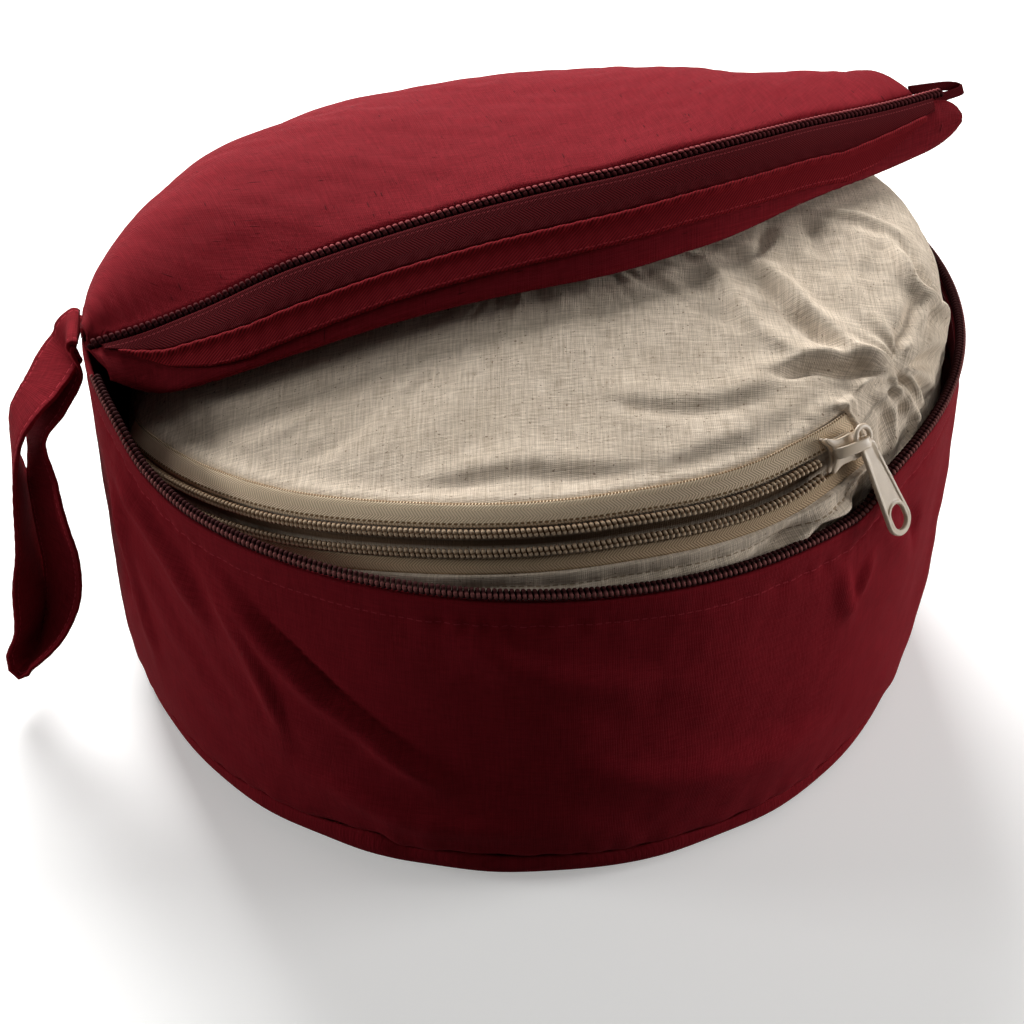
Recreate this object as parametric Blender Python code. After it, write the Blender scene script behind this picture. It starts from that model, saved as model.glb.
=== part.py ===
"""Zafu meditation cushion, opened: a cream inner casing with its own zip sits in a burgundy
cotton cover, whose round lid is unzipped and folded back over the casing.

The origin is the centre of the underside, +Z is up, and the carrying strap is on the -X side.
Tables hold real sizes in millimetres and degrees; points() turns them into metres.
Azimuths turn about +Z from +X, so that -Y, the front, is 270 degrees.
"""

import math

import bmesh
import bpy
import numpy as np
from mathutils import Matrix, Vector

MM = 0.001
GAP = 0.35  # between pieces that touch
CLOTH = 1.6  # cover cloth, with its turned hems
TAPE = 0.8  # woven zip tape and seam tape
RED_COIL = 2.0  # radius of the cover's zip coil
BEIGE_COIL = 1.6  # radius of the casing's zip coil

# Cover: a round base panel, a wall and a lid. The wall leans out from the base seam.
WALL_RADIUS = 162.0
WALL_SHIFT_X = -1.0
BASE_FLAT_RADIUS = 145.0
BASE_PROFILE = ((0.0, 0.8), (70.0, 0.8), (128.0, 0.8), (145.0, 0.8), (149.5, 2.2), (152.6, 5.6))
WALL_PROFILE = (  # height, radius less the wall's radius
    (6.0, -9.2),
    (11.0, -6.2),
    (20.0, -3.4),
    (36.0, -1.3),
    (64.0, -0.2),
    (100.0, 0.2),
    (160.0, 0.0),
)
FOOT_SPREAD, FOOT_SPREAD_AT = 2.2, 205.0  # the foot of the wall slumps out at the left
RIM = (  # azimuth, height: the opened rim sags at the front
    (20.0, 147.0),
    (60.0, 144.0),
    (100.0, 141.0),
    (150.0, 146.0),
    (185.0, 150.0),
    (200.0, 150.5),
    (209.0, 147.0),
    (218.0, 137.5),
    (229.0, 133.8),
    (270.0, 133.6),
    (300.0, 132.0),
    (312.0, 132.0),
    (319.0, 141.5),
    (330.0, 145.0),
)
DRAG_FOLDS = (  # azimuth and height at each end of a soft ridge, its height and half width
    (205.0, 118.0, 226.0, 62.0, 2.6, 9.0),
    (213.0, 120.0, 243.0, 40.0, 2.4, 8.0),
    (222.0, 112.0, 256.0, 28.0, 1.8, 8.0),
    (316.0, 136.0, 326.0, 96.0, 1.6, 7.0),
    (346.0, 128.0, 338.0, 40.0, 1.5, 9.0),
    (60.0, 120.0, 84.0, 48.0, 1.8, 9.0),
    (120.0, 110.0, 140.0, 36.0, 1.8, 9.0),
)
WALL_STEP = 4.5  # degrees between two columns of the wall
ZIP_CLOSED_END, ZIP_LEFT_END = 58.0, 202.5  # azimuths between which the lid stays sewn on

# Lid: one disc of cloth. Each row is one section across the fold, from the strap's side to
# the tip: the zip edge, the rolled fold in front of it, how deep the cloth is tucked behind
# the zip edge, where the back edge lies, how far it stands off the rim, and the crown's rise.
LID_COLUMNS = (
    "at", "zip_x", "zip_y", "zip_z", "roll_x", "roll_y", "roll_z",
    "tuck", "back_azimuth", "back_out", "back_lift", "rise",
)
LID_SECTIONS = (
    (0.00, -154.6, -47.0, 156.0, -146.0, -58.0, 148.0, 1.0, 192.0, 0.0, 0.0, 2.0),
    (0.06, -137.0, -45.0, 161.0, -132.0, -63.0, 146.5, 8.0, 178.0, 0.0, 0.0, 8.0),
    (0.14, -115.0, -42.0, 168.6, -113.0, -67.0, 152.0, 14.0, 163.0, 0.0, 0.0, 12.0),
    (0.25, -79.0, -38.0, 184.6, -78.0, -65.0, 164.0, 20.0, 144.0, 0.0, 0.0, 10.0),
    (0.36, -44.0, -31.0, 194.0, -44.0, -60.0, 173.5, 24.0, 125.0, 0.0, 0.0, 5.0),
    (0.47, -9.0, -25.0, 202.0, -9.0, -55.0, 180.5, 26.0, 108.0, 0.0, 0.0, 0.0),
    (0.58, 26.0, -17.0, 207.0, 26.0, -48.0, 184.5, 26.0, 93.0, 0.0, 0.0, -2.0),
    (0.69, 62.0, -1.0, 209.0, 61.0, -32.0, 187.0, 22.0, 78.0, 0.0, 0.0, -3.0),
    (0.81, 100.0, 28.0, 204.5, 99.0, 0.0, 186.5, 16.0, 62.0, 0.0, 0.0, -1.0),
    (0.92, 140.0, 61.0, 197.0, 138.0, 38.0, 181.5, 9.0, 47.0, 5.0, 24.0, 1.0),
    (1.00, 175.0, 92.0, 191.0, 171.0, 71.0, 178.5, 5.0, 33.5, 33.0, 44.0, 1.0),
)
LAYER_GAP_MOST, LAYER_GAP_LEAST = 5.4, 2.2
FLAP_BULGE = 3.0
LID_TAPE_WIDTH, SEAM_TAPE_WIDTH, STRIP_GAP = 15.0, 11.5, 0.5
WALL_TAPE_WIDTH = 14.0

# Casing: the filled inner cushion. It sits askew in the cover, higher at the right.
CASING_SHIFT_X = 0.5
CASING_PROFILE = (  # radius, height, from the crown down to the flat underside
    (0.0, 183.0),
    (30.0, 181.6),
    (58.0, 177.5),
    (84.0, 172.0),
    (106.0, 166.5),
    (124.0, 161.5),
    (136.0, 157.0),
    (143.5, 151.5),
    (148.8, 144.0),
    (152.8, 135.0),
    (155.6, 122.0),
    (157.0, 104.0),
    (157.2, 76.0),
    (156.4, 48.0),
    (153.4, 22.0),
    (149.4, 9.0),
    (143.0, 2.6),
    (120.0, 2.1),
    (0.0, 2.1),
)
CASING_TILT = 0.128  # rise of the shoulder for each millimetre to the right
CASING_LIFT, CASING_SWELL, CASING_FULL_AT = 8.5, 1.2, 12.0  # the fuller shoulder at the right
TILT_FROM, TILT_TO = 40.0, 128.0
CASING_ZIP = (  # azimuth, distance from the crown's centre to the zip tape's upper edge
    (199.0, 158.0),
    (213.0, 151.5),
    (232.0, 146.0),
    (257.0, 142.0),
    (280.0, 144.0),
    (303.0, 150.0),
    (316.0, 150.5),
)
CASING_ZIP_FROM, CASING_ZIP_TO = 199.0, 316.5
UPPER_TAPE_WIDTH, COILS_APART, LOWER_TAPE_WIDTH = 7.6, 5.8, 5.0
SLIDER_AT = 312.0
SLIDER_LENGTH, SLIDER_WIDTH, SLIDER_HEIGHT, SLIDER_LIFT = 14.0, 11.5, 4.4, 1.8
PULL_LENGTH, PULL_NECK, PULL_END, PULL_THICK = 39.0, 5.4, 10.4, 1.6
PULL_HOLE_LENGTH, PULL_HOLE_WIDTH, PULL_HOLE_EDGE = 9.2, 6.6, 1.9
PULL_FROM, PULL_TO = (109.5, -105.9, 162.7), (125.7, -118.5, 127.1)

# Strap: one band sewn into the rim at both ends. Each row is a point of its middle line and
# the way its width points, as an azimuth and a rise.
STRAP_WIDTH, STRAP_THICK = 24.0, 2.2
STRAP = (  # x, y, z, turn, rise
    (-163.0, -24.2, 149.8, 278.0, 0.0),
    (-166.2, -24.6, 149.8, 278.0, 0.0),
    (-168.3, -24.1, 142.1, 304.9, -0.5),
    (-171.2, -26.1, 138.7, 299.8, -2.5),
    (-173.8, -31.9, 135.3, 304.1, 3.0),
    (-177.0, -37.6, 132.0, 304.8, 6.2),
    (-181.4, -41.7, 127.9, 300.2, 6.6),
    (-186.2, -44.6, 120.5, 292.6, 3.9),
    (-188.7, -46.2, 107.6, 283.8, 0.9),
    (-188.8, -46.8, 89.6, 270.6, -0.0),
    (-190.1, -47.0, 70.7, 265.6, 0.3),
    (-191.7, -47.8, 51.1, 253.1, 1.3),
    (-193.0, -49.2, 33.2, 250.3, -0.5),
    (-196.5, -50.8, 20.9, 244.4, -2.1),
    (-195.7, -52.9, 14.8, 256.1, -3.8),
    (-190.6, -51.9, 19.6, 274.5, 3.2),
    (-183.6, -49.6, 32.1, 298.1, 2.5),
    (-178.9, -48.2, 49.4, 315.1, -1.2),
    (-177.8, -49.1, 67.4, 319.8, -1.2),
    (-178.3, -50.5, 83.6, 314.9, 0.8),
    (-179.3, -48.8, 97.1, 309.9, 1.7),
    (-180.9, -40.7, 113.3, 293.8, -2.1),
    (-176.2, -33.2, 125.1, 303.9, -13.5),
    (-169.8, -27.7, 135.2, 302.7, -14.8),
    (-166.0, -24.6, 146.9, 278.0, 0.0),
    (-163.0, -24.2, 146.9, 278.0, 0.0),
)


# ---- Curves through a table's rows ----


def smooth(keys, values, at):
    """Values at `at` on a cubic through the rows that never overshoots them."""
    keys, values, at = (np.asarray(each, float) for each in (keys, values, at))
    steps = np.diff(keys)
    slopes = np.diff(values) / steps
    same_way = slopes[:-1] * slopes[1:] > 0
    before, after = 2 * steps[1:] + steps[:-1], steps[1:] + 2 * steps[:-1]
    safe = np.where(same_way, slopes[:-1], 1.0), np.where(same_way, slopes[1:], 1.0)
    middle = np.where(same_way, (before + after) / (before / safe[0] + after / safe[1]), 0.0)
    tangents = np.concatenate([slopes[:1], middle, slopes[-1:]])
    row = np.clip(np.searchsorted(keys, at, side="right") - 1, 0, len(steps) - 1)
    part = np.clip((at - keys[row]) / steps[row], 0.0, 1.0)
    return (
        values[row] * (1 + 2 * part) * (1 - part) ** 2
        + values[row + 1] * part**2 * (3 - 2 * part)
        + steps[row] * tangents[row] * part * (1 - part) ** 2
        - steps[row] * tangents[row + 1] * part**2 * (1 - part)
    )


def around(rows, azimuth):
    """Values of (azimuth, value) rows at any azimuth, closing on themselves."""
    keys, values = np.array(rows).T
    keys = np.concatenate([keys[-2:] - 360, keys, keys[:2] + 360])
    values = np.concatenate([values[-2:], values, values[:2]])
    return smooth(keys, values, np.mod(azimuth, 360))


def column(rows, names, name, at):
    table = np.array(rows)
    return smooth(table[:, 0], table[:, names.index(name)], at)


def through(corners, count):
    """`count` points evenly along a Catmull-Rom curve through the corners."""
    corners = np.asarray(corners, float)
    ends = np.vstack([2 * corners[0] - corners[1], corners, 2 * corners[-1] - corners[-2]])
    part = np.linspace(0, 1, 13)[:-1, None]
    runs = []
    for a, b, c, d in zip(ends, ends[1:], ends[2:], ends[3:]):
        runs.append(
            0.5 * (2 * b + (c - a) * part + (2 * a - 5 * b + 4 * c - d) * part**2
                   + (3 * b - a - 3 * c + d) * part**3)
        )
    fine = np.vstack(runs + [corners[-1:]])
    return evenly(fine, count)


def evenly(line, count):
    """`count` points at even distances along a polyline."""
    length = np.concatenate([[0], np.cumsum(np.linalg.norm(np.diff(line, axis=0), axis=1))])
    return along(line, np.linspace(0, length[-1], count))


def along(line, distances):
    """Points of a polyline at the given distances from its start."""
    length = np.concatenate([[0], np.cumsum(np.linalg.norm(np.diff(line, axis=0), axis=1))])
    return np.stack([np.interp(distances, length, line[:, i]) for i in range(3)], axis=-1)


def unit(vectors):
    return vectors / np.linalg.norm(vectors, axis=-1, keepdims=True)


# ---- Building objects ----


def material(name, colour, roughness, metallic=0.0):
    made = bpy.data.materials.new(name)
    made.use_nodes = True
    shader = made.node_tree.nodes["Principled BSDF"]
    shader.inputs["Base Color"].default_value = (*colour, 1.0)
    shader.inputs["Roughness"].default_value = roughness
    shader.inputs["Metallic"].default_value = metallic
    return made


def place(name, data, finish):
    thing = bpy.data.objects.new(name, data)
    bpy.context.scene.collection.objects.link(thing)
    data.materials.append(finish)
    return thing


def grid_faces(rows, columns, around_rows=False):
    """Quads of a grid of points, optionally joined from its last row to its first."""
    last = rows if around_rows else rows - 1
    return [
        (i * columns + j, (i + 1) % rows * columns + j,
         (i + 1) % rows * columns + j + 1, i * columns + j + 1)
        for i in range(last)
        for j in range(columns - 1)
    ]


def sheet(name, grid, thickness, finish, closed=False):
    """A sheet of cloth: a grid of its middle surface, given its thickness by Solidify."""
    rows, columns = grid.shape[:2]
    mesh = bpy.data.meshes.new(name)
    mesh.from_pydata((grid.reshape(-1, 3) * MM).tolist(), [], grid_faces(rows, columns, closed))
    mesh.shade_smooth()
    thing = place(name, mesh, finish)
    solidify = thing.modifiers.new("Cloth", "SOLIDIFY")
    solidify.thickness = thickness * MM
    solidify.offset = 0.0
    solidify.use_even_offset = False
    return thing


def strip(name, inner, outer, finish):
    """A closed strip between two grids of points that face each other."""
    rows, columns = inner.shape[:2]
    loop = np.concatenate([inner, outer[:, ::-1]], axis=1)
    sides = loop.shape[1]
    faces = [
        (i * sides + j, (i + 1) * sides + j, (i + 1) * sides + (j + 1) % sides,
         i * sides + (j + 1) % sides)
        for i in range(rows - 1)
        for j in range(sides)
    ]
    first, last = 0, (rows - 1) * sides
    for j in range(columns - 1):
        quad = (j, j + 1, sides - 2 - j, sides - 1 - j)
        faces.append(tuple(first + k for k in quad))
        faces.append(tuple(last + k for k in reversed(quad)))
    mesh = bpy.data.meshes.new(name)
    mesh.from_pydata((loop.reshape(-1, 3) * MM).tolist(), [], faces)
    return place(name, outward(mesh), finish)


def outward(mesh):
    shape = bmesh.new()
    shape.from_mesh(mesh)
    bmesh.ops.recalc_face_normals(shape, faces=shape.faces)
    shape.to_mesh(mesh)
    shape.free()
    mesh.shade_smooth()
    mesh.set_sharp_from_angle(angle=math.radians(40))
    return mesh


def coil(name, line, radius, finish):
    """A zip coil's outer form: a round tube along its line."""
    curve = bpy.data.curves.new(name, "CURVE")
    curve.dimensions = "3D"
    curve.bevel_depth = radius * MM
    curve.bevel_resolution = 1
    curve.use_fill_caps = True
    spline = curve.splines.new("POLY")
    spline.points.add(len(line) - 1)
    spline.points.foreach_set("co", np.column_stack([line * MM, np.ones(len(line))]).ravel())
    return place(name, curve, finish)


# ---- Cover ----


def drag_folds(azimuth, height):
    """How far the wall stands out in its soft diagonal folds."""
    out = np.zeros(np.broadcast(azimuth, height).shape)
    for azimuth_a, height_a, azimuth_b, height_b, high, wide in DRAG_FOLDS:
        ahead = np.radians((azimuth - azimuth_a + 180) % 360 - 180) * WALL_RADIUS
        run = np.array([math.radians(azimuth_b - azimuth_a) * WALL_RADIUS, height_b - height_a])
        length = np.linalg.norm(run)
        up = height - height_a
        part = (ahead * run[0] + up * run[1]) / length**2
        off = (ahead * run[1] - up * run[0]) / length
        fade = np.clip(1.5 - np.abs(part - 0.5) * 2.2, 0, 1)
        out += high * np.exp(-((off / wide) ** 2)) * fade
    return out


def wall_point(azimuth, height, inward=0.0):
    """A point of the wall's middle surface, or `inward` of it."""
    azimuth, height = np.broadcast_arrays(np.asarray(azimuth, float), np.asarray(height, float))
    rows = np.array(WALL_PROFILE)
    spread = FOOT_SPREAD * 0.5 * (1 + np.cos(np.radians(azimuth - FOOT_SPREAD_AT)))
    spread = spread * np.clip(1 - height / 70.0, 0, 1)
    radius = WALL_RADIUS + smooth(rows[:, 0], rows[:, 1], height) + spread
    radius = radius + drag_folds(azimuth, height) - inward
    turn = np.radians(azimuth)
    return np.stack(
        [WALL_SHIFT_X + radius * np.cos(turn), radius * np.sin(turn), height], axis=-1
    )


def foot_height():
    return WALL_PROFILE[0][0]


def cover_base(finish):
    azimuths = np.arange(0, 360, 6.0)[:, None]
    radii, heights = np.array(BASE_PROFILE).T
    foot = wall_point(azimuths[:, 0], foot_height())
    foot_radius = np.hypot(foot[:, 0] - WALL_SHIFT_X, foot[:, 1])[:, None]
    stretch = np.clip((radii - 128.0) / (radii[-1] - 128.0), 0, 1)
    radius = radii + (foot_radius - 0.3 - radii[-1]) * stretch
    turn = np.radians(azimuths)
    grid = np.stack(
        [WALL_SHIFT_X + radius * np.cos(turn), radius * np.sin(turn),
         np.broadcast_to(heights, radius.shape)], axis=-1,
    )
    mesh = bpy.data.meshes.new("cover_base")
    faces = grid_faces(*grid.shape[:2], True)
    mesh.from_pydata((grid.reshape(-1, 3) * MM).tolist(), [], faces)
    shape = bmesh.new()
    shape.from_mesh(mesh)
    bmesh.ops.remove_doubles(shape, verts=shape.verts, dist=1e-6)
    bmesh.ops.recalc_face_normals(shape, faces=shape.faces)
    shape.to_mesh(mesh)
    shape.free()
    mesh.shade_smooth()
    thing = place("cover_base", mesh, finish)
    solidify = thing.modifiers.new("Cloth", "SOLIDIFY")
    solidify.thickness = CLOTH * MM
    solidify.offset = 0.0
    return thing


def cover_wall(finish):
    azimuths = np.arange(0, 360, WALL_STEP)[:, None]
    part = np.array([0, 0.04, 0.11, 0.22, 0.37, 0.53, 0.69, 0.84, 1.0])
    foot = foot_height() + GAP
    heights = foot + (around(RIM, azimuths) - foot) * part
    return sheet("cover_wall", wall_point(azimuths, heights), CLOTH, finish, closed=True)


def wall_zip(tape_finish, coil_finish):
    azimuths = np.arange(ZIP_LEFT_END, 360 + ZIP_CLOSED_END, WALL_STEP)
    rim = around(RIM, azimuths)
    down = np.array([0.8, WALL_TAPE_WIDTH / 2, WALL_TAPE_WIDTH])
    heights = rim[:, None] - down
    near = CLOTH / 2 + GAP + 0.45
    outer = wall_point(azimuths[:, None], heights, near)
    inner = wall_point(azimuths[:, None], heights, near + TAPE)
    strip("cover_zip_tape_wall", inner, outer, tape_finish)
    line = wall_point(azimuths, rim, 0.4)
    line[:, 2] += RED_COIL + GAP + 0.1
    coil("cover_zip_coil_wall", line, RED_COIL, coil_finish)


def lid_corners(at):
    """The corners of one section across the folded lid, from its back edge to its zip edge."""
    row = {name: float(column(LID_SECTIONS, LID_COLUMNS, name, at)) for name in LID_COLUMNS}
    zip_edge = np.array([row["zip_x"], row["zip_y"], row["zip_z"]])
    roll = np.array([row["roll_x"], row["roll_y"], row["roll_z"]])
    rim = float(around(RIM, row["back_azimuth"]))
    back = wall_point(row["back_azimuth"], rim, -row["back_out"])
    back[2] = rim + GAP + 0.25 + row["back_lift"]
    away = np.array([back[0] - zip_edge[0], back[1] - zip_edge[1], 0.0])
    reach = np.linalg.norm(away)
    away /= reach
    up = np.array([0.0, 0.0, 1.0])
    step = min(7.0, 0.3 * reach)
    layer = np.clip(0.24 * (zip_edge[2] - roll[2]), LAYER_GAP_LEAST, LAYER_GAP_MOST)
    tuck = row["tuck"]

    top = zip_edge + away * step + up * 0.6
    part = np.array([0.0, 0.02, 0.07, 0.16, 0.3, 0.47, 0.65, 0.83])[:, None]
    high = (1 - (1 - part) ** 2.6) ** (1 / 1.6)
    top_layer = back + (top - back) * part
    top_layer[:, 2:] = back[2] + (top[2] - back[2] + 4 * row["rise"] * part * (1 - part)) * high
    half = layer / 2
    folds = [
        top,
        zip_edge + away * (4.6 - half * 0.4) - up * half * 0.6,
        zip_edge + away * step - up * layer,
        zip_edge + away * (step + tuck) - up * layer,
        zip_edge + away * (step + tuck + half * 1.2) - up * layer * 1.5,
        zip_edge + away * (step + tuck) - up * layer * 2,
        zip_edge * 0.45 + (roll + away * 8) * 0.55 + up * 1.0 - up * layer * 1.0,
        roll + away * 5.0 + up * 1.4,
        roll + away * 0.6 + up * 0.9,
        roll - away * 0.9 + up * 3.6,
    ]
    lean = unit(np.cross(np.cross(away, up), unit(zip_edge - roll)))
    lean = lean if lean[2] < 0 or np.dot(lean, away) < 0 else -lean
    middle = 0.5 * (roll + zip_edge) + lean * FLAP_BULGE
    edge = zip_edge + unit(roll - zip_edge) * (RED_COIL + GAP + 0.45)
    return np.vstack([top_layer, folds, [middle, edge]])


def lid_section(at):
    return through(lid_corners(at), 150)


def flap_strip(name, sections, start, width, finish):
    """A strip sewn to the flap's inside, `start` down from the zip edge."""
    inner, outer = [], []
    down = np.array([start, start + width / 2, start + width])
    for section in sections:
        flap = section[::-1]
        inner.append(along(flap, down))
        outer.append(along(flap, down + 0.2))
    inner, ahead = np.array(inner), unit(np.array(outer) - np.array(inner))
    across = unit(np.gradient(inner, axis=0))
    normal = unit(np.cross(ahead, across))
    normal *= np.where(normal[..., 1:2] > 0, -1.0, 1.0)
    near = CLOTH / 2 + GAP + 0.7
    strip(name, inner + normal * near, inner + normal * (near + TAPE), finish)


def cover_lid(cloth, tape_finish, coil_finish, facing_finish):
    sections = [lid_section(at) for at in np.linspace(0, 1, 25)]
    grid = np.array([evenly(section, 46) for section in sections])
    sheet("cover_lid", grid, CLOTH, cloth)
    flap_strip("cover_zip_tape_lid", sections[1:-1], 0.6, LID_TAPE_WIDTH, tape_finish)
    start = 0.6 + LID_TAPE_WIDTH + STRIP_GAP
    flap_strip("cover_seam_tape", sections[4:-3], start, SEAM_TAPE_WIDTH, facing_finish)
    steps = np.linspace(0, 1, 40)
    line = np.stack([column(LID_SECTIONS, LID_COLUMNS, n, steps) for n in LID_COLUMNS[1:4]], -1)
    coil("cover_zip_coil_lid", line, RED_COIL, coil_finish)


def cover_strap(finish):
    rows = np.array(STRAP)
    chords = np.linalg.norm(np.diff(rows[:, :3], axis=0), axis=1)
    keys = np.concatenate([[0], np.cumsum(chords)])
    middle = through(rows[:, :3], 72)
    at = np.linspace(0, keys[-1], len(middle))
    turn, rise = (np.radians(smooth(keys, rows[:, n], at)) for n in (3, 4))
    across = np.stack([np.cos(turn) * np.cos(rise), np.sin(turn) * np.cos(rise), np.sin(rise)], -1)
    ahead = unit(np.gradient(middle, axis=0))
    across = unit(across - ahead * np.sum(across * ahead, axis=1, keepdims=True))
    half = across * STRAP_WIDTH / 2
    grid = np.stack([middle - half, middle, middle + half], axis=1)
    return sheet("cover_strap", grid, STRAP_THICK, finish)


# ---- Casing ----


def casing_profile():
    corners = np.array(CASING_PROFILE)
    line = through(np.column_stack([corners[:, 0], 0 * corners[:, 0], corners[:, 1]]), 600)
    line[:, 0] = np.maximum(line[:, 0], 0)
    line[:, 2] = np.maximum(line[:, 2], CASING_PROFILE[-1][1])
    return line


CASING_LINE = casing_profile()


def casing_point(azimuth, distance, out=0.0):
    """A point of the casing `distance` from the crown's centre, or `out` from its cloth."""
    azimuth, distance = np.broadcast_arrays(
        np.asarray(azimuth, float), np.asarray(distance, float)
    )
    here = along(CASING_LINE, distance)
    ahead = along(CASING_LINE, distance + 1.0) - along(CASING_LINE, distance - 1.0)
    ahead = unit(np.where(np.abs(ahead) > 1e-9, ahead, 1e-9))
    radius = here[..., 0] - ahead[..., 2] * out
    height = here[..., 2] + ahead[..., 0] * out
    turn = np.radians(azimuth)
    part = np.clip((here[..., 2] - TILT_FROM) / (TILT_TO - TILT_FROM), 0, 1)
    part = part * part * (3 - 2 * part)
    full = np.clip(np.cos(np.radians(azimuth - CASING_FULL_AT)), 0, 1) ** 1.5
    full = full * np.clip(radius / 150.0, 0, 1) ** 2
    height = height + part * (CASING_TILT * radius * np.cos(turn) + CASING_LIFT * full)
    radius = radius + part * CASING_SWELL * full
    return np.stack(
        [CASING_SHIFT_X + radius * np.cos(turn), radius * np.sin(turn), height], axis=-1
    )


def casing(finish):
    azimuths = np.arange(0, 360, 5.0)
    total = np.sum(np.linalg.norm(np.diff(CASING_LINE, axis=0), axis=1))
    flat = total - 120.0
    stops = np.concatenate([np.linspace(18, 120, 6), np.linspace(132, 216, 12),
                            np.linspace(238, flat - 24, 4), [flat - 8, flat]])
    rings = casing_point(azimuths[:, None], stops)
    count, columns = rings.shape[:2]
    top, bottom = count * columns, count * columns + 1
    ends = casing_point(0.0, np.array([0.0, total]))
    ends[:, 0] = CASING_SHIFT_X
    faces = grid_faces(count, columns, True)
    for i in range(count):
        after = (i + 1) % count
        faces.append((top, after * columns, i * columns))
        faces.append((bottom, i * columns + columns - 1, after * columns + columns - 1))
    mesh = bpy.data.meshes.new("casing")
    mesh.from_pydata((np.vstack([rings.reshape(-1, 3), ends]) * MM).tolist(), [], faces)
    return place("casing", outward(mesh), finish)


def zip_edge_distance(azimuth):
    keys, values = np.array(CASING_ZIP).T
    return smooth(keys, values, azimuth)


def casing_zip(tape_finish, coil_finish):
    azimuths = np.linspace(CASING_ZIP_FROM, CASING_ZIP_TO, 40)
    top = zip_edge_distance(azimuths)
    together = np.clip((azimuths - SLIDER_AT + 7) / 7, 0, 1)
    apart = COILS_APART - (COILS_APART - 2 * BEIGE_COIL - GAP) * together
    upper = top + UPPER_TAPE_WIDTH + BEIGE_COIL + GAP + (COILS_APART - apart) / 2
    lower = upper + apart
    lift = GAP + 0.25
    for name, edge, width in (
        ("casing_zip_tape_top", upper - BEIGE_COIL - GAP, -UPPER_TAPE_WIDTH),
        ("casing_zip_tape_bottom", lower + BEIGE_COIL + GAP, LOWER_TAPE_WIDTH),
    ):
        across = edge[:, None] + np.array([0.0, 0.5, 1.0]) * width
        inner = casing_point(azimuths[:, None], across, lift)
        outer = casing_point(azimuths[:, None], across, lift + TAPE)
        strip(name, inner, outer, tape_finish)
    left = azimuths < SLIDER_AT - 3.6
    for name, line in (("casing_zip_coil_top", upper), ("casing_zip_coil_bottom", lower)):
        points = casing_point(azimuths, line, lift + BEIGE_COIL)
        coil(name, points[left], BEIGE_COIL, coil_finish)


def cover_parts():
    burgundy = material("burgundy_cotton", (0.21, 0.022, 0.032), 0.9)
    dark_tape = material("burgundy_zip_tape", (0.06, 0.006, 0.009), 0.85)
    dark_coil = material("burgundy_zip_coil", (0.10, 0.02, 0.025), 0.4)
    twill = material("burgundy_twill_tape", (0.12, 0.012, 0.016), 0.9)
    cover_base(burgundy)
    cover_wall(burgundy)
    wall_zip(dark_tape, dark_coil)
    cover_lid(burgundy, dark_tape, dark_coil, twill)
    cover_strap(burgundy)


def frame_at(origin, along_axis, up_axis):
    """A matrix with +X along one direction and +Z near another."""
    x = Vector(along_axis).normalized()
    y = Vector(up_axis).cross(x).normalized()
    z = x.cross(y)
    return Matrix.Translation(Vector(origin) * MM) @ Matrix((x, y, z)).transposed().to_4x4()


def outline_plate(name, outer, holes, thickness, matrix, finish):
    """A flat plate with holes, extruded both ways from its middle plane."""
    curve = bpy.data.curves.new(name, "CURVE")
    curve.dimensions = "2D"
    curve.fill_mode = "BOTH"
    curve.extrude = thickness / 2 * MM
    for loop in (outer, *holes):
        spline = curve.splines.new("POLY")
        spline.points.add(len(loop) - 1)
        flat = np.column_stack([loop * MM, np.zeros(len(loop)), np.ones(len(loop))])
        spline.points.foreach_set("co", flat.ravel())
        spline.use_cyclic_u = True
    thing = place(name, curve, finish)
    thing.matrix_world = matrix
    return thing


def stadium(length, width, centre, count=7):
    """A slot's outline, round at both ends."""
    turn = np.linspace(-math.pi / 2, math.pi / 2, count)
    half, radius = (length - width) / 2, width / 2
    right = np.column_stack([half + radius * np.cos(turn), radius * np.sin(turn)])
    return np.vstack([right, -right]) + [centre, 0.0]


def zip_puller(finish):
    here = casing_point(SLIDER_AT, zip_edge_distance(SLIDER_AT) + 11.9, SLIDER_LIFT)
    before = casing_point(SLIDER_AT - 2, zip_edge_distance(SLIDER_AT - 2) + 11.9, SLIDER_LIFT)
    above = casing_point(SLIDER_AT, zip_edge_distance(SLIDER_AT) + 11.9, 6.0)
    run, out = Vector(here - before), Vector(above - here)
    seat = frame_at(here + np.array(out.normalized()) * SLIDER_HEIGHT / 2, run, out)
    length, width, height = (n * MM for n in (SLIDER_LENGTH, SLIDER_WIDTH, SLIDER_HEIGHT))
    shape = bmesh.new()
    bmesh.ops.create_cube(shape, size=1.0, matrix=Matrix.Diagonal((length, width, height, 1)))
    for vertex in shape.verts:
        if vertex.co.x < 0:
            vertex.co.y *= 0.72
    bmesh.ops.bevel(shape, geom=list(shape.edges), offset=1.1 * MM, segments=2, affect="EDGES")
    mesh = bpy.data.meshes.new("casing_zip_slider")
    shape.to_mesh(mesh)
    shape.free()
    slider = place("casing_zip_slider", mesh, finish)
    slider.matrix_world = seat

    start, end = np.array(PULL_FROM), np.array(PULL_TO)
    plane = frame_at(start, end - start, out)
    round_end = np.linspace(-math.pi / 2, math.pi / 2, 9)
    radius = PULL_END / 2
    cap = np.column_stack([PULL_LENGTH - radius + radius * np.cos(round_end),
                           radius * np.sin(round_end)])
    neck = PULL_NECK / 2
    outer = np.vstack([[[0.0, -neck], [6.0, -neck]], cap, [[6.0, neck], [0.0, neck]]])
    hole = stadium(PULL_HOLE_LENGTH, PULL_HOLE_WIDTH,
                   PULL_LENGTH - PULL_HOLE_EDGE - PULL_HOLE_LENGTH / 2)
    outline_plate("casing_zip_pull", outer, [hole], PULL_THICK, plane, finish)


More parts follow.
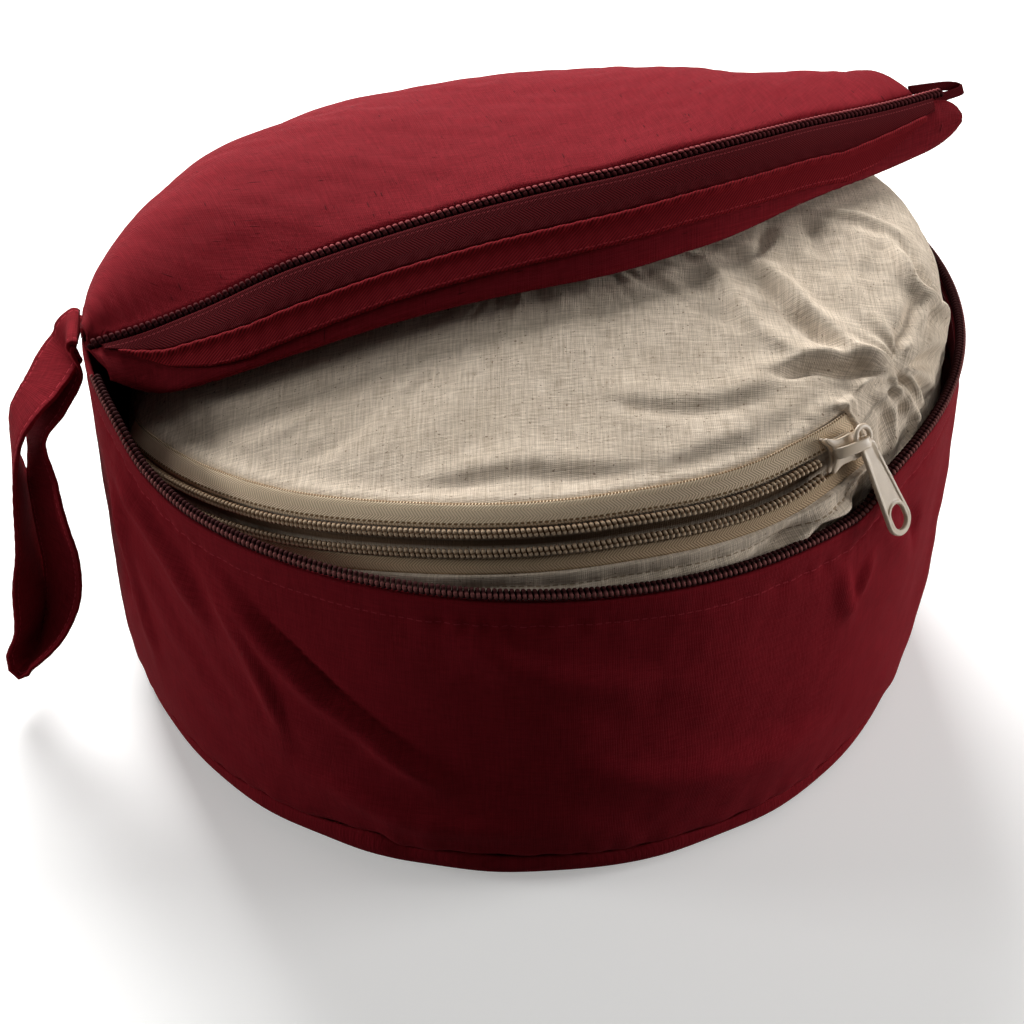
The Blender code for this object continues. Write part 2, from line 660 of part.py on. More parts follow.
def casing_parts():
    cream = material("unbleached_cotton", (0.62, 0.54, 0.42), 0.95)
    beige_tape = material("beige_zip_tape", (0.19, 0.125, 0.075), 0.9)
    beige_coil = material("beige_zip_coil", (0.42, 0.31, 0.2), 0.5)
    enamel = material("beige_enamel", (0.45, 0.33, 0.23), 0.35, 0.3)
    casing(cream)
    casing_zip(beige_tape, beige_coil)
    zip_puller(enamel)


for thing in list(bpy.data.objects):
    bpy.data.objects.remove(thing)
cover_parts()
casing_parts()
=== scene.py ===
import math

import bmesh
import bpy
import numpy as np
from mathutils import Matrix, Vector


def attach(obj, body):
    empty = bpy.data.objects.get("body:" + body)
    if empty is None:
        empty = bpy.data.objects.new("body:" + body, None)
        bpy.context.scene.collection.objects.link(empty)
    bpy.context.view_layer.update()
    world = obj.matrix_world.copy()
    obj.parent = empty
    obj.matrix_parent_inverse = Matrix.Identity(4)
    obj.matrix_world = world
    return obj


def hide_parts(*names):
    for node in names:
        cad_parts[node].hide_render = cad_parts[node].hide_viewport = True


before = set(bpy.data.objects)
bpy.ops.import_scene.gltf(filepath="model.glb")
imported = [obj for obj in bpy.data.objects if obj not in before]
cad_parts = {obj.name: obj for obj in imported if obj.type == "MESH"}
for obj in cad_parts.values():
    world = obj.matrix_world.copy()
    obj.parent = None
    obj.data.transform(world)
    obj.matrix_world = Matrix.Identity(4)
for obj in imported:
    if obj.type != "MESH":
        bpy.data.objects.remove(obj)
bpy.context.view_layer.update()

# ---- Stage ----
# The cushion stands on a plain pale floor. The main light is broad and comes from above and
# behind, so the tops are bright and the wall's front is in shade, with weak lights overhead and
# at both sides. The camera looks down from the front; it alone sees the pale floor and backdrop,
# which send little light back up, as a dark studio would.

FLOOR_HALF, FLOOR_DROP = 4.0, 0.0004  # in metres, as the camera and the lights are
AIM = Vector((0, 0, 0.1))  # the point that the lights face


def add(tree, kind, inputs=(), **settings):
    """A shader node: each input is a value to set or an output to link."""
    made = tree.nodes.new("ShaderNode" + kind)
    for name, value in settings.items():
        setattr(made, name, value)
    for key, value in dict(inputs).items():
        if isinstance(value, bpy.types.NodeSocket):
            tree.links.new(value, made.inputs[key])
        else:
            made.inputs[key].default_value = value
    return made


def calc(tree, operation, a, b=0.0, c=0.0, clamp=False):
    """One sum of two or three numbers."""
    inputs = {0: a, 1: b, 2: c}
    return add(tree, "Math", inputs, operation=operation, use_clamp=clamp).outputs[0]


def blend(tree, share, a, b):
    """A colour between a and b."""
    return add(tree, "Mix", {0: share, 6: a, 7: b}, data_type="RGBA").outputs[2]


def new_material(name, roughness, constants=()):
    """A material with its own shader, whose constants are set here."""
    made = bpy.data.materials.new(name)
    made.use_nodes = True
    shader = made.node_tree.nodes["Principled BSDF"]
    for key, value in {"Roughness": roughness, **dict(constants)}.items():
        shader.inputs[key].default_value = value
    return made, made.node_tree, shader


camera = bpy.data.objects.new("camera", bpy.data.cameras.new("camera"))
bpy.context.scene.collection.objects.link(camera)
camera.location = (-0.005, -0.622, 0.514)
camera.rotation_euler = (math.radians(53.1), 0.0, 0.0)
camera.data.lens = 67.08
camera.data.sensor_width = 36.0
bpy.context.scene.camera = camera
bpy.context.scene.view_settings.view_transform = "Standard"

floor_mesh = bpy.data.meshes.new("floor")
corners = [(x * FLOOR_HALF, y * FLOOR_HALF, -FLOOR_DROP) for x in (-1, 1) for y in (-1, 1)]
floor_mesh.from_pydata(corners, [], [(0, 2, 3, 1)])
floor = bpy.data.objects.new("floor", floor_mesh)
bpy.context.scene.collection.objects.link(floor)
pale, tree, shader = new_material("pale_floor", 0.9, {"Emission Strength": 1.0})
bounce = add(tree, "LightPath").outputs["Is Diffuse Ray"]
for key, seen, bounced in (
    ("Base Color", (0.9, 0.895, 0.885, 1), (0.16, 0.15, 0.15, 1)),
    ("Emission Color", (0.32, 0.32, 0.315, 1), (0, 0, 0, 1)),
):
    tree.links.new(blend(tree, bounce, seen, bounced), shader.inputs[key])
floor_mesh.materials.append(pale)

for name, place, size, power in (  # place and size in metres, power in watts
    ("key_light", (-0.5, 1.75, 1.4), 1.3, 102.0),
    ("top_light", (0.5, -0.4, 1.9), 0.8, 3.5),
    ("right_light", (1.6, 0.05, 0.4), 0.6, 16.0),
    ("left_light", (-1.6, -0.1, 0.4), 0.4, 8.5),
):
    light = bpy.data.objects.new(name, bpy.data.lights.new(name, "AREA"))
    bpy.context.scene.collection.objects.link(light)
    light.data.size = size
    light.data.energy = power
    light.location = place
    light.visible_camera = False
    light.rotation_euler = (AIM - Vector(place)).to_track_quat("-Z", "Y").to_euler()
world = bpy.data.worlds.new("studio")
world.use_nodes = True
direct = add(world.node_tree, "LightPath").outputs["Is Camera Ray"]
sky = blend(world.node_tree, direct, (0.065, 0.0645, 0.064, 1), (0.75, 0.745, 0.735, 1))
world.node_tree.links.new(sky, world.node_tree.nodes["Background"].inputs["Color"])
bpy.context.scene.world = world

# ---- Cover base ----
# A round panel of the same burgundy cotton, flat on the floor. Its edge bulges up and out
# below the wall, and is sewn to it in soft scallops.

MM = 0.001
MERGE = 1e-6  # points of a mesh that are closer than this, in metres, are joined
CLOTH = 1.6  # thickness of the cover's cloth with its turned hems
BURGUNDY_DARK, BURGUNDY_LIGHT = (0.142, 0.0048, 0.0088, 1), (0.265, 0.0125, 0.0205, 1)
WEAVE_RELIEF = 0.00022  # how high the threads stand, in metres
WALL_RADIUS = 162.0
WALL_SHIFT_X = -1.0
WALL_PROFILE = (  # height, radius less the wall's radius
    (6.0, -9.2), (11.0, -6.2), (20.0, -3.4), (36.0, -1.3), (64.0, -0.2), (100.0, 0.2), (160.0, 0.0)
)
SEAM = (  # azimuth, height of the seam between wall and base
    (0.0, 13.0), (60.0, 12.0), (130.0, 12.0), (200.0, 13.0), (229.0, 13.5), (233.5, 14.8),
    (240.8, 16.0), (246.6, 16.8), (251.6, 18.6), (254.5, 14.5), (262.0, 15.4), (285.0, 13.6),
    (320.0, 13.0),
)
DRAG_FOLDS = (  # azimuth and height at each end of a soft ridge, its height and half width
    (205.0, 118.0, 226.0, 62.0, 1.8, 8.0),
    (213.0, 120.0, 243.0, 40.0, 1.3, 7.0),
    (222.0, 112.0, 256.0, 28.0, 1.2, 8.0),
    (316.0, 136.0, 326.0, 96.0, 1.6, 7.0),
    (346.0, 128.0, 338.0, 40.0, 1.5, 9.0),
    (60.0, 120.0, 84.0, 48.0, 1.8, 9.0),
    (120.0, 110.0, 140.0, 36.0, 1.8, 9.0),
)


def smooth(keys, values, at):
    """Values at `at` on a cubic through the rows that never overshoots them."""
    keys, values, at = (np.asarray(each, float) for each in (keys, values, at))
    steps = np.diff(keys)
    slopes = np.diff(values) / steps
    same_way = slopes[:-1] * slopes[1:] > 0
    before, after = 2 * steps[1:] + steps[:-1], steps[1:] + 2 * steps[:-1]
    safe = np.where(same_way, slopes[:-1], 1.0), np.where(same_way, slopes[1:], 1.0)
    middle = np.where(same_way, (before + after) / (before / safe[0] + after / safe[1]), 0.0)
    tangents = np.concatenate([slopes[:1], middle, slopes[-1:]])
    row = np.clip(np.searchsorted(keys, at, side="right") - 1, 0, len(steps) - 1)
    part = np.clip((at - keys[row]) / steps[row], 0.0, 1.0)
    return (
        values[row] * (1 + 2 * part) * (1 - part) ** 2
        + values[row + 1] * part**2 * (3 - 2 * part)
        + steps[row] * tangents[row] * part * (1 - part) ** 2
        - steps[row] * tangents[row + 1] * part**2 * (1 - part)
    )


def around(rows, azimuth):
    """Values of (azimuth, value) rows at any azimuth, closing on themselves."""
    keys, values = np.array(rows).T
    keys = np.concatenate([keys[-2:] - 360, keys, keys[:2] + 360])
    values = np.concatenate([values[-2:], values, values[:2]])
    return smooth(keys, values, np.mod(azimuth, 360))


def ripples(x, y, size, seed, waves=14):
    """Gentle unevenness from -1 to 1: the mean of sine waves that run in random directions over
    (x, y), each about `size` long."""
    draw = np.random.default_rng(seed)
    turn, phase = draw.uniform(0, 2 * math.pi, (2, waves))
    pace = 2 * math.pi / (size * draw.uniform(0.7, 1.5, waves))
    total = 0.0
    for k in range(waves):
        total = total + np.sin((x * np.cos(turn[k]) + y * np.sin(turn[k])) * pace[k] + phase[k])
    return total / math.sqrt(waves) * 0.8


def beside(*values):
    """Fields of numbers drawn out to one shape and laid side by side in a last axis."""
    return np.stack(np.broadcast_arrays(*values), axis=-1)


def turned(azimuth, radius, height, shift_x):
    """Points at an azimuth in degrees, a radius and a height about an upright axis."""
    turn = np.radians(azimuth)
    return beside(shift_x + radius * np.cos(turn), radius * np.sin(turn), height)


def bell(off, half_width):
    """1 at an offset of 0, falling away smoothly on both sides."""
    return np.exp(-((off / half_width) ** 2))


def wall_point(azimuth, height, inward=0.0):
    """A point of the wall's middle surface, or `inward` of it: a leaning profile turned about the
    upright axis, with soft drag folds standing out and a foot that slumps out at the left."""
    azimuth, height = np.broadcast_arrays(np.asarray(azimuth, float), np.asarray(height, float))
    rows = np.array(WALL_PROFILE)
    spread = 1.1 * (1 + np.cos(np.radians(azimuth - 205.0))) * np.clip(1 - height / 70.0, 0, 1)
    radius = WALL_RADIUS + smooth(rows[:, 0], rows[:, 1], height) + spread - inward
    for azimuth_a, height_a, azimuth_b, height_b, high, wide in DRAG_FOLDS:
        ahead = np.radians((azimuth - azimuth_a + 180) % 360 - 180) * WALL_RADIUS
        run = np.radians(azimuth_b - azimuth_a) * WALL_RADIUS, height_b - height_a
        length = math.hypot(*run)
        up = height - height_a
        part = (ahead * run[0] + up * run[1]) / length**2
        off = (ahead * run[1] - up * run[0]) / length
        fade = np.clip(1.5 - np.abs(part - 0.5) * 2.2, 0, 1)
        radius = radius + high * bell(off, wide) * fade
    return turned(azimuth, radius, height, WALL_SHIFT_X)


def seam_height(azimuth):
    """The height of the seam between the base and the wall, with its small scallops."""
    return around(SEAM, azimuth) + 0.5 * np.sin(np.radians(azimuth) * 25 + 0.7)


def grid_mesh(name, grid, lengths, around_rows=False, merge=0.0, **layers):
    """A grid of points in mm, one quad for each cell. The UV map "cloth" holds the two lengths
    along the cloth, and each of `layers` is one number a point. `around_rows` joins the last row
    to the first, and then `lengths` has one row more; points less than `merge` metres apart are
    joined, as at the middle of a disc."""
    rows, columns = grid.shape[:2]
    last = rows if around_rows else rows - 1
    i, j = np.meshgrid(np.arange(last), np.arange(columns - 1), indexing="ij")
    row = i[..., None] + [0, 1, 1, 0]
    column = j[..., None] + [0, 0, 1, 1]
    corners = (row % rows * columns + column).reshape(-1)
    mesh = bpy.data.meshes.new(name)
    mesh.vertices.add(rows * columns)
    mesh.vertices.foreach_set("co", (grid * MM).astype(np.float32).ravel())
    mesh.loops.add(len(corners))
    mesh.loops.foreach_set("vertex_index", corners.astype(np.int32))
    mesh.polygons.add(len(corners) // 4)
    mesh.polygons.foreach_set("loop_start", np.arange(0, len(corners), 4, dtype=np.int32))
    mesh.update(calc_edges=True)
    flat = (lengths * MM)[row.reshape(-1), column.reshape(-1)]
    mesh.uv_layers.new(name="cloth").uv.foreach_set("vector", flat.astype(np.float32).ravel())
    for key, values in layers.items():
        values = np.broadcast_to(values, (rows, columns)).astype(np.float32)
        mesh.attributes.new(key, "FLOAT", "POINT").data.foreach_set("value", values.ravel())
    if merge:
        shape = bmesh.new()
        shape.from_mesh(mesh)
        bmesh.ops.remove_doubles(shape, verts=shape.verts, dist=merge)
        bmesh.ops.recalc_face_normals(shape, faces=shape.faces)
        shape.to_mesh(mesh)
        shape.free()
    mesh.shade_smooth()
    return mesh


def piece(name, mesh, finish, slot, *nodes, thickness=0.0):
    """A finished piece: its mesh, its thickness, its material and the nodes it stands for."""
    thing = bpy.data.objects.new(name, mesh)
    bpy.context.scene.collection.objects.link(thing)
    mesh.materials.append(finish)
    if thickness:
        solidify = thing.modifiers.new("Cloth", "SOLIDIFY")
        solidify.thickness = thickness * MM
        solidify.offset = 0.0
    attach(thing, "root")
    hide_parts(*nodes)
    return thing


def grid_piece(name, grid, lengths, *the_rest, thickness=0.0, **mesh_settings):
    """A finished piece made from a grid of points."""
    mesh = grid_mesh(name, grid, lengths, **mesh_settings)
    return piece(name, mesh, *the_rest, thickness=thickness)


def new_group(name, inputs, outputs):
    """An empty node group with named inputs and outputs, and its two end nodes."""
    made = bpy.data.node_groups.new(name, "ShaderNodeTree")
    for way, sockets in (("INPUT", inputs), ("OUTPUT", outputs)):
        for key, kind in sockets.items():
            made.interface.new_socket(key, in_out=way, socket_type="NodeSocket" + kind)
    return made, made.nodes.new("NodeGroupInput"), made.nodes.new("NodeGroupOutput")


def times(tree, a, b):
    """The product of two numbers."""
    return calc(tree, "MULTIPLY", a, b)


def noise(tree, at, scale, detail):
    """Cloudy noise from 0 to 1."""
    return add(tree, "TexNoise", {"Vector": at, "Scale": scale, "Detail": detail}).outputs["Fac"]


def own_value(tree, name):
    """A number of the piece's own attribute."""
    return add(tree, "Attribute", attribute_name=name).outputs["Fac"]


def in_mm(tree, along_cloth):
    """The two lengths along the cloth, in mm."""
    split = add(tree, "SeparateXYZ", {0: along_cloth}).outputs
    return [times(tree, split[axis], 1000.0) for axis in (0, 1)]


def wavy(tree, count):
    """A bump for each whole step of `count`."""
    return calc(tree, "ABSOLUTE", calc(tree, "SINE", times(tree, count, math.pi)))


def plain_weave_group():
    """Plain weave: a bump where each warp and weft thread cross, uneven threads both ways, and a
    colour between the dark and the light thread that follows them, with each crossing painted
    lighter as a highlight and the hollows between crossings painted darker as shade."""
    group, start, end = new_group(
        "plain weave",
        {"Along": "Vector", "Pitch mm": "Float", "Slub": "Float", "Dark": "Color",
         "Light": "Color"},
        {"Color": "Color", "Height": "Float"},
    )
    pitch = start.outputs["Pitch mm"]
    threads = [calc(group, "DIVIDE", each, pitch) for each in in_mm(group, start.outputs["Along"])]
    bumps = [wavy(group, thread) for thread in threads]
    crossing = calc(group, "SQRT", times(group, *bumps))
    uneven = []
    for one, other, low in ((0, 1, 0.10), (1, 0, 0.07)):
        drawn = add(group, "CombineXYZ", {0: times(group, threads[one], low), 1: threads[other]})
        uneven.append(noise(group, drawn.outputs[0], 0.8, 3.0))
    both = calc(group, "SUBTRACT", calc(group, "ADD", *uneven), 1.0)
    slub = times(group, both, start.outputs["Slub"])
    # painted highlight on each thread crossing, painted shade in the hollows between them
    lit = calc(group, "MULTIPLY_ADD", crossing, 0.35, 0.28)
    tone = calc(group, "MULTIPLY_ADD", slub, 1.7, lit, clamp=True)
    colour = blend(group, tone, start.outputs["Dark"], start.outputs["Light"])
    group.links.new(colour, end.inputs["Color"])
    height = calc(group, "MULTIPLY_ADD", slub, 1.2, times(group, crossing, 0.6))
    group.links.new(height, end.inputs["Height"])
    return group


STITCH_SHARE = 0.64  # how much of a stitch's length shows as thread


def stitch_group():
    """A row of stitches: dashes that follow each other along the cloth at one distance from its
    edge, as a mask."""
    group, start, end = new_group(
        "stitch row",
        {"Along": "Vector", "Distance mm": "Float", "Pitch mm": "Float", "Width mm": "Float"},
        {"Mask": "Float"},
    )
    ahead, across = in_mm(group, start.outputs["Along"])
    off = calc(group, "ABSOLUTE", calc(group, "SUBTRACT", across, start.outputs["Distance mm"]))
    on_line = calc(group, "LESS_THAN", off, times(group, start.outputs["Width mm"], 0.5))
    part = calc(group, "FRACT", calc(group, "DIVIDE", ahead, start.outputs["Pitch mm"]))
    dash = calc(group, "LESS_THAN", part, STITCH_SHARE)
    group.links.new(times(group, on_line, dash), end.inputs["Mask"])
    return group


plain_weave = plain_weave_group()
stitch_row = stitch_group()


def woven(tree, flat, pitch, slub, dark, light):
    """The plain weave's colour and height at the lengths `flat` along the cloth."""
    inputs = {"Along": flat, "Pitch mm": pitch, "Slub": slub, "Dark": dark, "Light": light}
    weave = add(tree, "Group", inputs, node_tree=plain_weave)
    return weave.outputs["Color"], weave.outputs["Height"]


def stitches(tree, flat, distance, length, width):
    """The mask of a row of stitches: its distance from the edge, the length of a stitch and the
    width of its thread are in mm."""
    inputs = {"Along": flat, "Distance mm": distance, "Pitch mm": length, "Width mm": width}
    return add(tree, "Group", inputs, node_tree=stitch_row).outputs["Mask"]


def stitched(tree, flat, rows, thread, colour, height, lift):
    """A colour and a height with rows of stitches on them, in a thread's colour."""
    for row in rows:
        mask = stitches(tree, flat, *row)
        colour = blend(tree, mask, colour, thread)
        height = calc(tree, "MULTIPLY_ADD", mask, lift, height)
    return colour, height


def few_spots(tree, clouds, low, steep):
    """A mask of the spots where a noise is above `low`."""
    return calc(tree, "MULTIPLY", calc(tree, "SUBTRACT", clouds, low), steep, clamp=True)


def show(tree, shader, colour, height, relief, strength=0.8):
    """Lead a colour and a height, `relief` metres high, into a material's shader."""
    bump = add(tree, "Bump", {"Height": height, "Strength": strength, "Distance": relief})
    tree.links.new(colour, shader.inputs["Base Color"])
    tree.links.new(bump.outputs[0], shader.inputs["Normal"])


def cotton(name, thread, slub=0.55, rows=(), inner=1.0, nubs=0.0):
    """Burgundy cotton, woven along the UV map "cloth" with rows of stitches. Where the attribute
    "inner" is 1 the cloth's inner side shows, painted darker as shade, `inner` as bright as its
    face. `nubs` is how dark the few short thick threads are that stand out in a slubby cloth."""
    made, tree, shader = new_material(name, 0.92, {"Specular IOR Level": 0.06})
    flat = add(tree, "UVMap", uv_map="cloth").outputs[0]
    colour, height = woven(tree, flat, 0.6, slub, BURGUNDY_DARK, BURGUNDY_LIGHT)
    colour, height = stitched(tree, flat, rows, thread, colour, height, 1.2)
    if nubs:
        split = add(tree, "SeparateXYZ", {0: flat})
        for one, other in ((0, 1), (1, 0)):
            ahead = times(tree, split.outputs[one], 150.0)
            across = times(tree, split.outputs[other], 1100.0)
            drawn = add(tree, "CombineXYZ", {0: ahead, 1: across}).outputs[0]
            few = few_spots(tree, noise(tree, drawn, 1.0, 0.0), 0.80, 22.0)
            colour = blend(tree, times(tree, few, nubs), colour, (0.03, 0.001, 0.002, 1))
            height = calc(tree, "MULTIPLY_ADD", few, 1.5, height)
    if inner < 1:
        # painted shade where the cloth's inner side shows, on the lid's flap
        inner_side_shade = times(tree, own_value(tree, "inner"), 1 - inner)
        colour = blend(tree, inner_side_shade, colour, (0, 0, 0, 1))
    show(tree, shader, colour, height, WEAVE_RELIEF)
    return made


burgundy = cotton("burgundy_cotton", BURGUNDY_LIGHT)

BASE_COLUMNS = 240
FLAT_RADIUS, FLAT_HEIGHT = 146, 0.9  # where the base leaves the floor, and its middle surface
azimuths = np.arange(BASE_COLUMNS) * 360.0 / BASE_COLUMNS
radial_stops = np.concatenate([np.linspace(0, 132, 22), np.linspace(136, FLAT_RADIUS, 6)])
seam = seam_height(azimuths)[:, None]
foot = wall_point(azimuths, seam[:, 0]) - [WALL_SHIFT_X, 0, 0]
seam_radius = np.hypot(foot[:, 0], foot[:, 1])[:, None]
flat_part = beside(radial_stops, FLAT_HEIGHT)
flat_part = np.broadcast_to(flat_part, (BASE_COLUMNS, *flat_part.shape))
climb = np.linspace(0, 1, 15)[1:]
swell = 0.6 * ripples(np.cos(np.radians(azimuths)) * 160, np.sin(np.radians(azimuths)) * 160, 45, 4)
out = FLAT_RADIUS + (seam_radius - FLAT_RADIUS - 1.2) * np.sin(climb * math.pi / 2) ** 0.8
out = out + (1.6 + swell[:, None]) * np.sin(climb * math.pi) ** 1.5
up = FLAT_HEIGHT + (seam - 1.3 - FLAT_HEIGHT) * (1 - np.cos(climb * math.pi / 2)) ** 0.9
profile = np.concatenate([flat_part, beside(out, np.maximum(up, FLAT_HEIGHT))], axis=1)
grid = turned(azimuths[:, None], profile[..., 0], profile[..., 1], WALL_SHIFT_X)
lengths = np.concatenate([grid, grid[:1]])[..., :2]
base_cloth = grid_piece("base_cloth", grid, lengths, burgundy, "burgundy_cotton", "cover_base",
                        around_rows=True, merge=MERGE, thickness=1.4)

# ---- Cover wall ----
# One long strip of cotton, closed into a ring and sewn to the base. Its top edge is folded over
# the zip tape and stitched down 10 mm below the fold, which gathers the cloth in small puckers.
# Nothing stiffens it, so it sags at the front and drags in diagonal folds at the left.

WALL_COLUMNS = 540
HEM = 10.0  # from the fold down to the stitches
FAR = 1e9  # more than any distance here
RIM = (  # azimuth, height: the opened rim sags at the front
    (20.0, 147.0), (60.0, 144.0), (100.0, 141.0), (150.0, 146.0), (185.0, 150.0), (200.0, 150.5),
    (209.0, 147.0), (218.0, 137.5), (229.0, 133.8), (270.0, 133.6), (300.0, 132.0),
    (312.0, 132.0), (319.0, 141.5), (330.0, 145.0),
)
WALL_CREASES = (  # points (azimuth, height) of a crease, its height and half width
    (((229, 116), (232, 106.5), (234.6, 97.8), (236.8, 86.7), (238.8, 70.8),
      (240, 55)), 0.9, 3.4),
    (((231.6, 117), (236.7, 105), (241, 94.5), (245.2, 83.6), (249.3, 76.4), (254.6, 64.7),
      (260, 53)), 2.0, 4.0),
    (((231, 112), (238, 90), (244, 73), (250, 60)), 0.7, 9.0),
    (((234, 113), (240, 101), (244.8, 90), (249.5, 79), (258, 62)), -0.9, 3.6),
    (((210, 126), (218, 119), (224.6, 106.4), (229, 92)), 1.3, 4.5),
    (((208, 116), (211, 96), (211.5, 74), (214, 50)), 1.0, 5.0),
    (((203, 108), (205, 84), (205, 60)), -0.9, 4.0),
    (((310.9, 116), (312, 104), (313.9, 91)), 0.9, 3.0),
    (((314, 98), (316.4, 112)), 0.8, 2.5),
    (((322, 122), (327, 112), (329, 98)), -0.8, 3.0),
    (((262, 120), (272, 104), (286, 96)), 0.8, 7.0),
    (((276, 60), (292, 48), (312, 44)), 0.9, 8.0),
    (((243, 44), (256, 34), (270, 31)), 0.9, 5.0),
)
WALL_CREASE_STRENGTH = 2.9  # times the heights in the table


def ramp(low, high, at):
    """0 below `low`, 1 above `high`, and a soft step between them."""
    part = np.clip((at - low) / (high - low), 0, 1)
    return part * part * (3 - 2 * part)


def full_length(line):
    """The length of a polyline."""
    return np.linalg.norm(np.diff(line, axis=0), axis=1).sum()


def run_length(line):
    """The distance of each point of a polyline from its start, along it."""
    return np.concatenate([[0], np.cumsum(np.linalg.norm(np.diff(line, axis=0), axis=1))])


def between(keys, rows, at):
    """Rows of numbers read at `at`, straight between the keys at which they are given."""
    return np.stack([np.interp(at, keys, rows[:, k]) for k in range(rows.shape[1])], axis=-1)


def along(line, distances):
    """Points of a polyline at the given distances from its start."""
    return between(run_length(line), line, distances)


def through(corners, count):
    """`count` points evenly along a Catmull-Rom curve through the corners."""
    corners = np.asarray(corners, float)
    ends = np.vstack([2 * corners[0] - corners[1], corners, 2 * corners[-1] - corners[-2]])
    part = np.linspace(0, 1, 13)[:-1, None]
    runs = []
    for a, b, c, d in zip(ends, ends[1:], ends[2:], ends[3:]):
        runs.append(
            0.5 * (2 * b + (c - a) * part + (2 * a - 5 * b + 4 * c - d) * part**2
                   + (3 * b - a - 3 * c + d) * part**3)
        )
    fine = np.vstack(runs + [corners[-1:]])
    return along(fine, np.linspace(0, full_length(fine), count))


def crease(x, y, path, height, half_width):
    """A soft ridge, or a trough if `height` is negative, over (x, y): it falls off as a bell with
    the distance to a curve through the path's points, faster on the curve's left as a pulled fold
    does, and fades at both its ends."""
    line = through(path, 22)
    total = full_length(line)
    nearest, place, side = np.full(np.shape(x), FAR), np.zeros(np.shape(x)), np.zeros(np.shape(x))
    gone = 0.0
    for a, b in zip(line, line[1:]):
        run = b - a
        span = np.linalg.norm(run)
        part = np.clip(((x - a[0]) * run[0] + (y - a[1]) * run[1]) / span**2, 0, 1)
        off = np.hypot(x - a[0] - part * run[0], y - a[1] - part * run[1])
        closer = off < nearest
        nearest = np.where(closer, off, nearest)
        side = np.where(closer, np.sign(run[0] * (y - a[1]) - run[1] * (x - a[0])), side)
        place = np.where(closer, gone + part * span, place)
        gone += span
    fade = ramp(-0.12, 0.25, place / total) * ramp(-0.12, 0.25, 1 - place / total)
    return height * np.exp(-((nearest / half_width * (1 + 0.3 * side)) ** 2)) * fade


def creased(total, x, y, creases, radius, strength):
    """A relief with a table of creases added; `x` and `y` are lengths on the cloth, and the
    table's points are an azimuth at that radius and a length."""
    for path, high, wide in creases:
        laid = [(math.radians(azimuth) * radius, length) for azimuth, length in path]
        total = total + strength * crease(x, y, laid, high, wide)
    return total


def fall(low, high, at):
    """1 below `low`, 0 above `high`, and a soft step between them."""
    return ramp(-high, -low, -at)


def gathers(x, pitch, wander, size, seed):
    """Small gathers along a row of stitches, from 0 to 1, whose pace wanders a little."""
    return 0.5 + 0.5 * np.sin(x * 2 * math.pi / pitch + wander * ripples(x, x * 0, size, seed))


def wall_relief(azimuth, height):
    """How far the cloth stands out from the plain wall, in mm: listed creases, puckers that
    fade away from the stitches below the fold and from the base seam, and a slight unevenness."""
    x = np.radians(azimuth) * WALL_RADIUS
    below = around(RIM, azimuth) - height
    above = height - seam_height(azimuth)
    total = 0.45 * ripples(x, height * 1.4, 62, 11) + 0.16 * ripples(x, height, 17, 12)
    total = total * ramp(0, 16, below)
    total = creased(total, x, height, WALL_CREASES, WALL_RADIUS, WALL_CREASE_STRENGTH)
    uneven = 0.6 + 0.5 * ripples(x, x * 0, 90, 14)
    total = total - 0.85 * gathers(x, 9.5, 2.6, 50, 13) * uneven * bell(below - HEM, 3.6)
    total = total - 0.3 * bell(below - HEM, 1.0)
    total = total + 0.3 * bell(below, 5.0) * ramp(0, 2, below)
    total = total - 0.7 * gathers(x, 15.0, 2.2, 70, 15) * bell(above, 8.0)
    return total - 1.0 * bell(above, 1.6)


azimuths = np.arange(WALL_COLUMNS) * 360.0 / WALL_COLUMNS
part = np.concatenate(
    [np.linspace(0, 0.12, 10), np.linspace(0.135, 0.84, 34), np.linspace(0.85, 1, 20)]
)
seam = seam_height(azimuths)[:, None]
rim = around(RIM, azimuths)[:, None]
heights = seam + (rim - seam) * part
grid = wall_point(azimuths[:, None], heights, -wall_relief(azimuths[:, None], heights))
closed_run = np.radians(np.append(azimuths, 360.0))[:, None] * WALL_RADIUS
closed_down = np.concatenate([rim - heights, (rim - heights)[:1]])
lengths = beside(closed_run, closed_down)
hemmed = cotton("burgundy_hemmed_cotton", (0.33, 0.028, 0.04, 1), rows=((HEM, 3.0, 0.6),))
wall_cloth = grid_piece("wall_cloth", grid, lengths, hemmed, "burgundy_cotton", "cover_wall",
                        around_rows=True, thickness=CLOTH)

# ---- Zip on the wall ----
# Half of a nylon coil zip: a twill tape behind the wall's edge and a coil of burgundy
# monofilament sewn along its edge, which stands just above the folded cloth.

TAPE = 0.8  # thickness of every woven tape
RED_COIL = 2.0  # half the coil's width
COIL_PITCH = 1.8  # from one turn to the next
COIL_STEPS, COIL_SIDES = 16, 8  # points in a turn, and round the wire


def unit(vectors):
    """Vectors drawn out or in to a length of 1."""
    return vectors / np.maximum(np.linalg.norm(vectors, axis=-1, keepdims=True), 1e-12)


def rib_group():
    """Twill ribs: ridges that run aslant over the tape, and turn back on themselves in bands where
    the tape is herringbone, as a height from 0 to 1."""
    inputs = {"Along": "Vector", "Pitch mm": "Float", "Band mm": "Float"}
    group, start, end = new_group("twill ribs", inputs, {"Height": "Float"})
    x, y = in_mm(group, start.outputs["Along"])
    back = calc(group, "PINGPONG", y, start.outputs["Band mm"])
    wave = calc(group, "DIVIDE", calc(group, "ADD", x, back), start.outputs["Pitch mm"])
    group.links.new(wavy(group, wave), end.inputs["Height"])
    return group


twill_ribs = rib_group()


